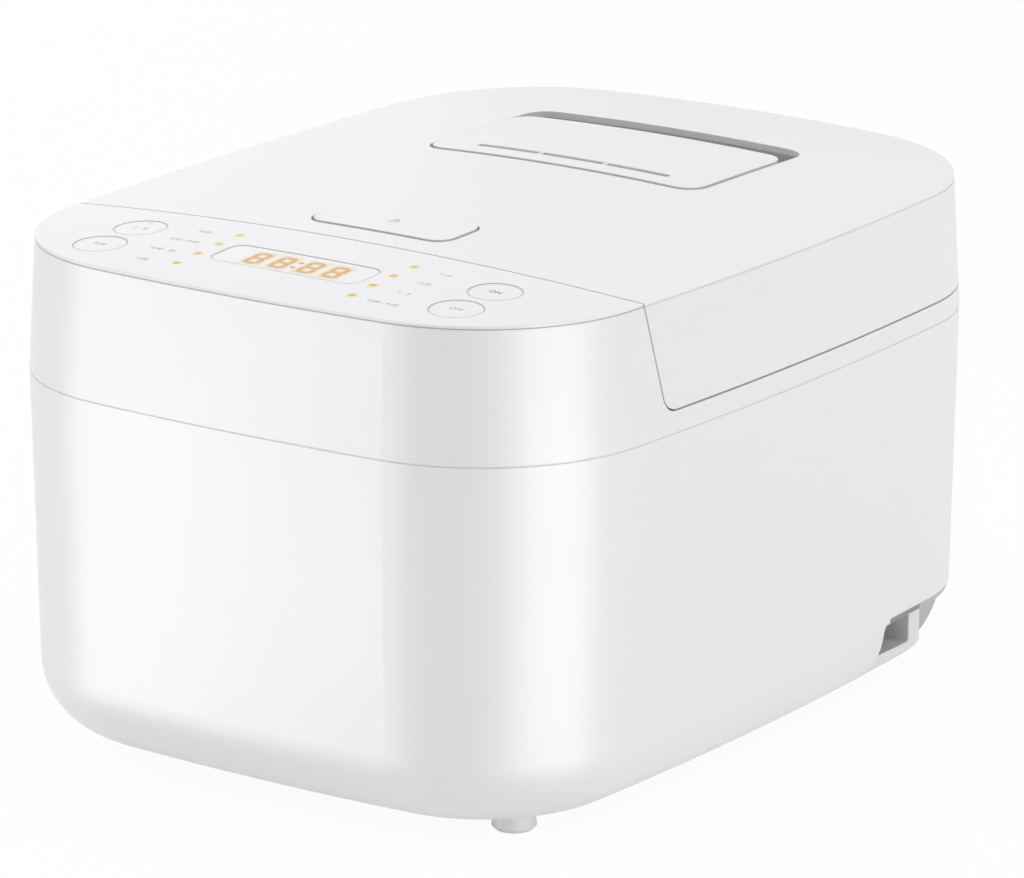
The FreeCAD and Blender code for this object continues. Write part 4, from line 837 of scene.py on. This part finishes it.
def dot(shape, x, y, radius, sides=DOT_SIDES):
    corners = bmesh.ops.create_circle(shape, cap_ends=True, segments=sides, radius=radius)["verts"]
    bmesh.ops.translate(shape, verts=corners, vec=(x, y, 0))


def write(shape, text, x, y, size):
    """Adds flat figures, centred on a point."""
    letters = bpy.data.curves.new("figures", "FONT")
    letters.body = text
    letters.size = size
    letters.align_x = "CENTER"
    letters.align_y = "CENTER"
    maker = bpy.data.objects.new("figures", letters)
    mesh = bpy.data.meshes.new_from_object(maker)
    mesh.transform(Matrix.Translation((x, y, 0)))
    shape.from_mesh(mesh)
    bpy.data.objects.remove(maker)
    bpy.data.curves.remove(letters)
    bpy.data.meshes.remove(mesh)


# %% [markdown]
# ## The lit figures
# The clock shows four figures of seven bars each, with a colon between the pairs. One figure is drawn from
# two rows of upright bars and three level ones, and a loop sets the four side by side on the display
# window.

# %% Clock figures
BAR_AIR = 0.25 * MM
COLON_RADIUS = 1.05 * MM


def draw_figure(shape, x, y):
    half_tall = FIGURE_TALL / 2
    half_wide = FIGURE_WIDE / 2
    for level in (-1, 0, 1):
        stroke(shape, x, y + level * half_tall, FIGURE_WIDE - BAR_AIR, BAR_WIDE, upright=False)
    for side in (-1, 1):
        for level in (-1, 1):
            stroke(shape, x + side * half_wide, y + level * half_tall / 2, half_tall - BAR_AIR, BAR_WIDE,
                   upright=True)


clock = bmesh.new()
for place_in_row in (-1.5, -0.5, 0.5, 1.5):
    shift = CLOCK_SHIFT + place_in_row * FIGURE_PITCH + math.copysign(COLON_EXTRA / 2, place_in_row)
    draw_figure(clock, shift, clock_y)
for level in (-1, 1):
    dot(clock, CLOCK_SHIFT, clock_y + level * FIGURE_TALL / 4, COLON_RADIUS)
add_film("clock_figures", clock, "display_window", digit_orange, "casing")

# %% [markdown]
# ## Ink
# Prints are matt ink, so their finish is a plain tone with a fine speckle.

# %% Inks
def printed_ink(name, colour):
    paint = Paint(name)
    speckle = paint.noise(scale=3000, detail=2)
    return paint.shade({
        "Base Color": paint.darkened(colour, speckle, share=0.9),
        "Roughness": varied(0.5, speckle, swing=0.1),
    })


ink_grey = printed_ink("ink_grey", (0.42, 0.42, 0.43))
ink_pale = printed_ink("ink_pale", (0.6, 0.6, 0.61))
ink_dark = printed_ink("ink_dark", (0.13, 0.1, 0.1))
level_ink = printed_ink("level_ink", (0.7, 0.7, 0.7))
print("inks:", ink_grey.name, ink_pale.name, ink_dark.name, level_ink.name)

# %% [markdown]
# ## Prints on the panel and the keys
# The panel and its keys carry small prints. Here they are plain numbers: a cooking time beside each light,
# and on the keys the range of programmes, the timer, ON and OFF. A key's print rides on the key, so that
# it goes down with it.

# %% Prints
PRINT_SIZE = 3.0 * MM
KEY_PRINT_SIZE = 3.2 * MM
PRINT_X = 52.3 * MM
PRINT_BELOW_LIGHT = 1.5 * MM
times = {
    -1: ("0:20", "0:30 - 0:45", "0:40 - 50", "1:00"),
    1: ("1:15", "1:30", "1 - 2", "2:00 - 4:00"),
}
prints = bmesh.new()
for side, texts in times.items():
    for row, text in enumerate(texts):
        write(prints, text, side * PRINT_X, light_first - row * light_pitch - PRINT_BELOW_LIGHT, PRINT_SIZE)
add_film("panel_prints", prints, "control_panel", ink_grey, "casing")

key_prints = {
    "key_left_rear": ("1 - 8", ink_grey), "key_left_front": ("0:00", ink_grey),
    "key_right_rear": ("ON", ink_dark), "key_right_front": ("OFF", ink_grey),
}
for key, (text, ink) in key_prints.items():
    mark = bmesh.new()
    write(mark, text, *middle_of(key), KEY_PRINT_SIZE)
    add_film(key + "_print", mark, key, ink, key + "_body")

# %% [markdown]
# ## Outline of the window and the keys
# A thin grey line frames the window and each key, over the gap around it. Each starts as a flat rectangle
# whose corners a vertex bevel rounds off, or as a circle, and an inset leaves the line. Long runs are
# divided so that they can follow the crown of the panel.

# %% Framing lines
LINE_WIDE = 0.55 * MM
LINE_AIR = 0.05 * MM
WINDOW_CORNER = 5.0 * MM
CORNER_STEPS = 12
ROUND_PROFILE = 0.5
KEY_RADIUS = 9.4 * MM
RING_SIDES = 64
RUN_LENGTH = 4 * MM
RUN_CUTS = 14


def rounded_plate(shape, y, half_wide, half_deep, corner):
    """A flat rounded rectangle in the middle of the panel."""
    made = bmesh.ops.create_grid(shape, x_segments=1, y_segments=1, size=1)["verts"]
    bmesh.ops.scale(shape, verts=made, vec=(half_wide, half_deep, 1))
    bmesh.ops.translate(shape, verts=made, vec=(0, y, 0))
    bmesh.ops.bevel(shape, geom=made, affect="VERTICES", offset=corner, offset_type="OFFSET",
                    segments=CORNER_STEPS, profile=ROUND_PROFILE, material=-1)


lines = bmesh.new()
line_out = LINE_AIR + LINE_WIDE
window_low, window_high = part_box("display_window")
rounded_plate(lines, window_y, window_high.x + line_out, (window_high.y - window_low.y) / 2 + line_out,
              WINDOW_CORNER + line_out)
for key in key_prints:
    dot(lines, *middle_of(key), KEY_RADIUS + line_out, sides=RING_SIDES)
inner = lines.faces[:]
bmesh.ops.inset_individual(lines, faces=inner, thickness=LINE_WIDE, use_even_offset=True)
bmesh.ops.delete(lines, geom=inner, context="FACES")
long_runs = [edge for edge in lines.edges if edge.calc_length() > RUN_LENGTH]
bmesh.ops.subdivide_edges(lines, edges=long_runs, cuts=RUN_CUTS, use_grid_fill=True)
add_film("panel_lines", lines, "control_panel", ink_pale, "casing")

# %% [markdown]
# ## Mark on the programme key
# A small orange mark sits at the rear edge of the programme key, so it is found without reading.

# %% Orange mark
MARK_RADIUS = 0.8 * MM
MARK_FROM_CENTRE = 6.5 * MM
key_x, key_y = middle_of("key_left_rear")
mark = bmesh.new()
dot(mark, key_x, key_y + MARK_FROM_CENTRE, MARK_RADIUS, sides=3)
add_film("key_left_rear_mark", mark, "key_left_rear", digit_orange, "key_left_rear_body")

# %% [markdown]
# ## Opening sign
# A triangle over a bar is the usual sign for a lid that springs open. It is drawn from a three-sided
# circle and one bar, and sits in the middle of the release button, which stays bare but for that.

# %% Sign on the button
SIGN_RADIUS = 2.6 * MM
SIGN_RISE = 0.6 * MM
SIGN_BAR = (4.6 * MM, 0.7 * MM)
SIGN_BAR_DROP = 2.2 * MM
button_y = middle_of("release_button")[1]
sign = bmesh.new()
dot(sign, 0, button_y + SIGN_RISE, SIGN_RADIUS, sides=3)
stroke(sign, 0, button_y - SIGN_BAR_DROP, *SIGN_BAR, upright=False)
add_film("button_sign", sign, "release_button", ink_pale, "button")

# %% [markdown]
# ## Level marks in the pot
# A cooking pot has water levels printed on its inner wall. The lines and numbers are drawn flat, as if the
# wall were unrolled, with the width as the way round and the height as it is. Each point is then sent from
# the pot's axis to the wall, which bends the print to the curve and the taper.

# %% Level marks
LEVEL_COUNT = 6
LEVEL_FIRST = 46 * MM
LEVEL_STEP = 13.5 * MM
LEVEL_LINE = (13 * MM, 0.9 * MM)
LEVEL_SIZE = 6.5 * MM
LEVEL_SHIFT = 12 * MM
UNROLLED_RADIUS = 98 * MM
LEVEL_SIDES = (math.radians(-35), math.radians(145))


def lay_on_wall(shape, node, turn):
    """Bends an unrolled shape round the pot's axis on to the inner wall of a CAD node."""
    tree = surface_tree(node)
    for vert in shape.verts:
        angle = turn + vert.co.x / UNROLLED_RADIUS
        out = Vector((math.sin(angle), math.cos(angle), 0))
        axis = Vector((pot_middle.x, pot_middle.y, pot_low.z + vert.co.y))
        spot = tree.ray_cast(axis, out)[0]
        vert.co = spot + out * (FILM_SUNK - vert.co.z)


levels = bmesh.new()
for turn in LEVEL_SIDES:
    column = bmesh.new()
    for level in range(LEVEL_COUNT):
        height = LEVEL_FIRST + level * LEVEL_STEP
        stroke(column, 0, height, *LEVEL_LINE, upright=False)
        write(column, str(level + 1), LEVEL_SHIFT, height, LEVEL_SIZE)
    thicken(column)
    lay_on_wall(column, "inner_pot", turn)
    bmesh.ops.recalc_face_normals(column, faces=column.faces[:])
    column_mesh = bpy.data.meshes.new("column")
    column.to_mesh(column_mesh)
    column.free()
    levels.from_mesh(column_mesh)
    bpy.data.meshes.remove(column_mesh)
add_piece("pot_level_marks", levels, level_ink, "pot")

# %% [markdown]
# ## Sensor spring
# The sensor under the pot stands on a coil spring and goes down a little when the pot is set in. A CAD node
# keeps its length, so a coil takes its place. A ring of wire is spun round the pot's axis while it climbs,
# and both ends are closed.

# %% Spring
SPRING_WIRE = 1.1 * MM
SPRING_TURNS = 3.5
SPRING_STEPS = 98
WIRE_SIDES = 12
spring_low, spring_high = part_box("sensor_spring")
spring_tall = spring_high.z - spring_low.z
coil_foot = Vector((pot_middle.x, pot_middle.y, spring_low.z))
coil_radius = (spring_high.x - spring_low.x - SPRING_WIRE) / 2
coil_climb = spring_tall - SPRING_WIRE
coil = bmesh.new()
wire = bmesh.ops.create_circle(coil, segments=WIRE_SIDES, radius=SPRING_WIRE / 2)["verts"]
bmesh.ops.rotate(coil, verts=wire, cent=(0, 0, 0), matrix=Matrix.Rotation(math.pi / 2, 3, "X"))
bmesh.ops.translate(coil, verts=wire, vec=coil_foot + Vector((coil_radius, 0, SPRING_WIRE / 2)))
bmesh.ops.spin(coil, geom=coil.verts[:] + coil.edges[:], cent=coil_foot, axis=(0, 0, 1),
               dvec=(0, 0, coil_climb / SPRING_STEPS), angle=math.tau * SPRING_TURNS, steps=SPRING_STEPS,
               use_merge=False)
bmesh.ops.holes_fill(coil, edges=coil.edges[:], sides=WIRE_SIDES)
bmesh.ops.recalc_face_normals(coil, faces=coil.faces[:])
for face in coil.faces:
    face.smooth = len(face.verts) < WIRE_SIDES
spring_coil = add_piece("sensor_spring_coil", coil, fastener_steel, "casing")
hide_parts("sensor_spring")
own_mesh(spring_coil)

# %% [markdown]
# ## Outlines for the seams
# The casing's halves meet in narrow level seams. On the real casing a lip stands close behind each one, so
# the line is pale or mid-grey, not black. A strip set a little way in gives that, and the panel's strip is
# painted grey as well, as painted shade in its seam. Each strip starts from a cut: a piece is cut level
# beside its seam, and the outermost loop of the cut is kept. That loop holds the point farthest out, and
# grows from there along the edges of the cut.

# %% Outermost loop of a cut
WELD = 0.001 * MM
SAME_REACH = 1e-6 * MM


def outermost_loop(node, height):
    """The outer outline of a CAD node at a height, as a shape of edges only."""
    shape = bmesh.new()
    shape.from_mesh(frame["nodes"][node].data)
    bmesh.ops.remove_doubles(shape, verts=shape.verts[:], dist=WELD)
    everything = shape.verts[:] + shape.edges[:] + shape.faces[:]
    cut = bmesh.ops.bisect_plane(shape, geom=everything, plane_co=(0, 0, height), plane_no=(0, 0, 1))
    kept = {item for item in cut["geom_cut"] if isinstance(item, bmesh.types.BMEdge)}
    reach = max(vert.co.length for edge in kept for vert in edge.verts)
    loop = {vert for edge in kept for vert in edge.verts if vert.co.length > reach - SAME_REACH}
    grown = True
    while grown:
        grown = {edge.other_vert(vert) for vert in loop for edge in vert.link_edges if edge in kept} - loop
        loop |= grown
    bmesh.ops.delete(shape, geom=[vert for vert in shape.verts if vert not in loop], context="VERTS")
    spare = [edge for edge in shape.edges if edge not in kept]
    bmesh.ops.delete(shape, geom=spare, context="EDGES")
    return shape


# %% [markdown]
# ## Strips behind the seams
# The loop is drawn in by the depth of the lip and pulled across the gap. The belt's strip goes up from the
# shell. The lid and the panel meet at one height, so their strips go down from it.

# %% Seam strips
SEAM_GAP = 0.4 * MM
SEAM_DEPTH = 0.25 * MM
STRIP_OVERLAP = 0.3 * MM
STRIP_TALL = SEAM_GAP + 2 * STRIP_OVERLAP
PANEL_SEAM = 189.4 * MM


def seam_strip(name, node, height, pull, finish, body):
    """A strip behind a seam, started from a node's outline and pulled up or down across the gap."""
    strip = outermost_loop(node, height)
    low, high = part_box(node)
    half = (high - low) / 2
    inward = (1 - SEAM_DEPTH / half.x, 1 - SEAM_DEPTH / half.y, 1)
    bmesh.ops.scale(strip, verts=strip.verts[:], vec=inward, space=Matrix.Translation(-(low + high) / 2))
    pulled = bmesh.ops.extrude_edge_only(strip, edges=strip.edges[:])["geom"]
    bmesh.ops.translate(strip, verts=[item for item in pulled if isinstance(item, bmesh.types.BMVert)],
                        vec=(0, 0, pull))
    bmesh.ops.recalc_face_normals(strip, faces=strip.faces[:])
    add_piece(name, strip, finish, body)


# The panel's strip is a grey of painted shade in its seam; the belt's and the lid's strips stay white.
seam_shade_grey = moulded_plastic("seam_shade_grey", MID_SHADE_GREY, 0.5, CASING_GRAIN)
belt_start = shell_high.z - STRIP_OVERLAP
panel_start = PANEL_SEAM + STRIP_OVERLAP / 2
seam_strip("belt_seam_strip", "outer_shell", belt_start, STRIP_TALL, casing_white, "casing")
seam_strip("lid_seam_strip", "lid_top", panel_start, -STRIP_TALL, casing_white, "lid")
seam_strip("panel_seam_strip", "control_panel", panel_start, -STRIP_TALL, seam_shade_grey, "casing")
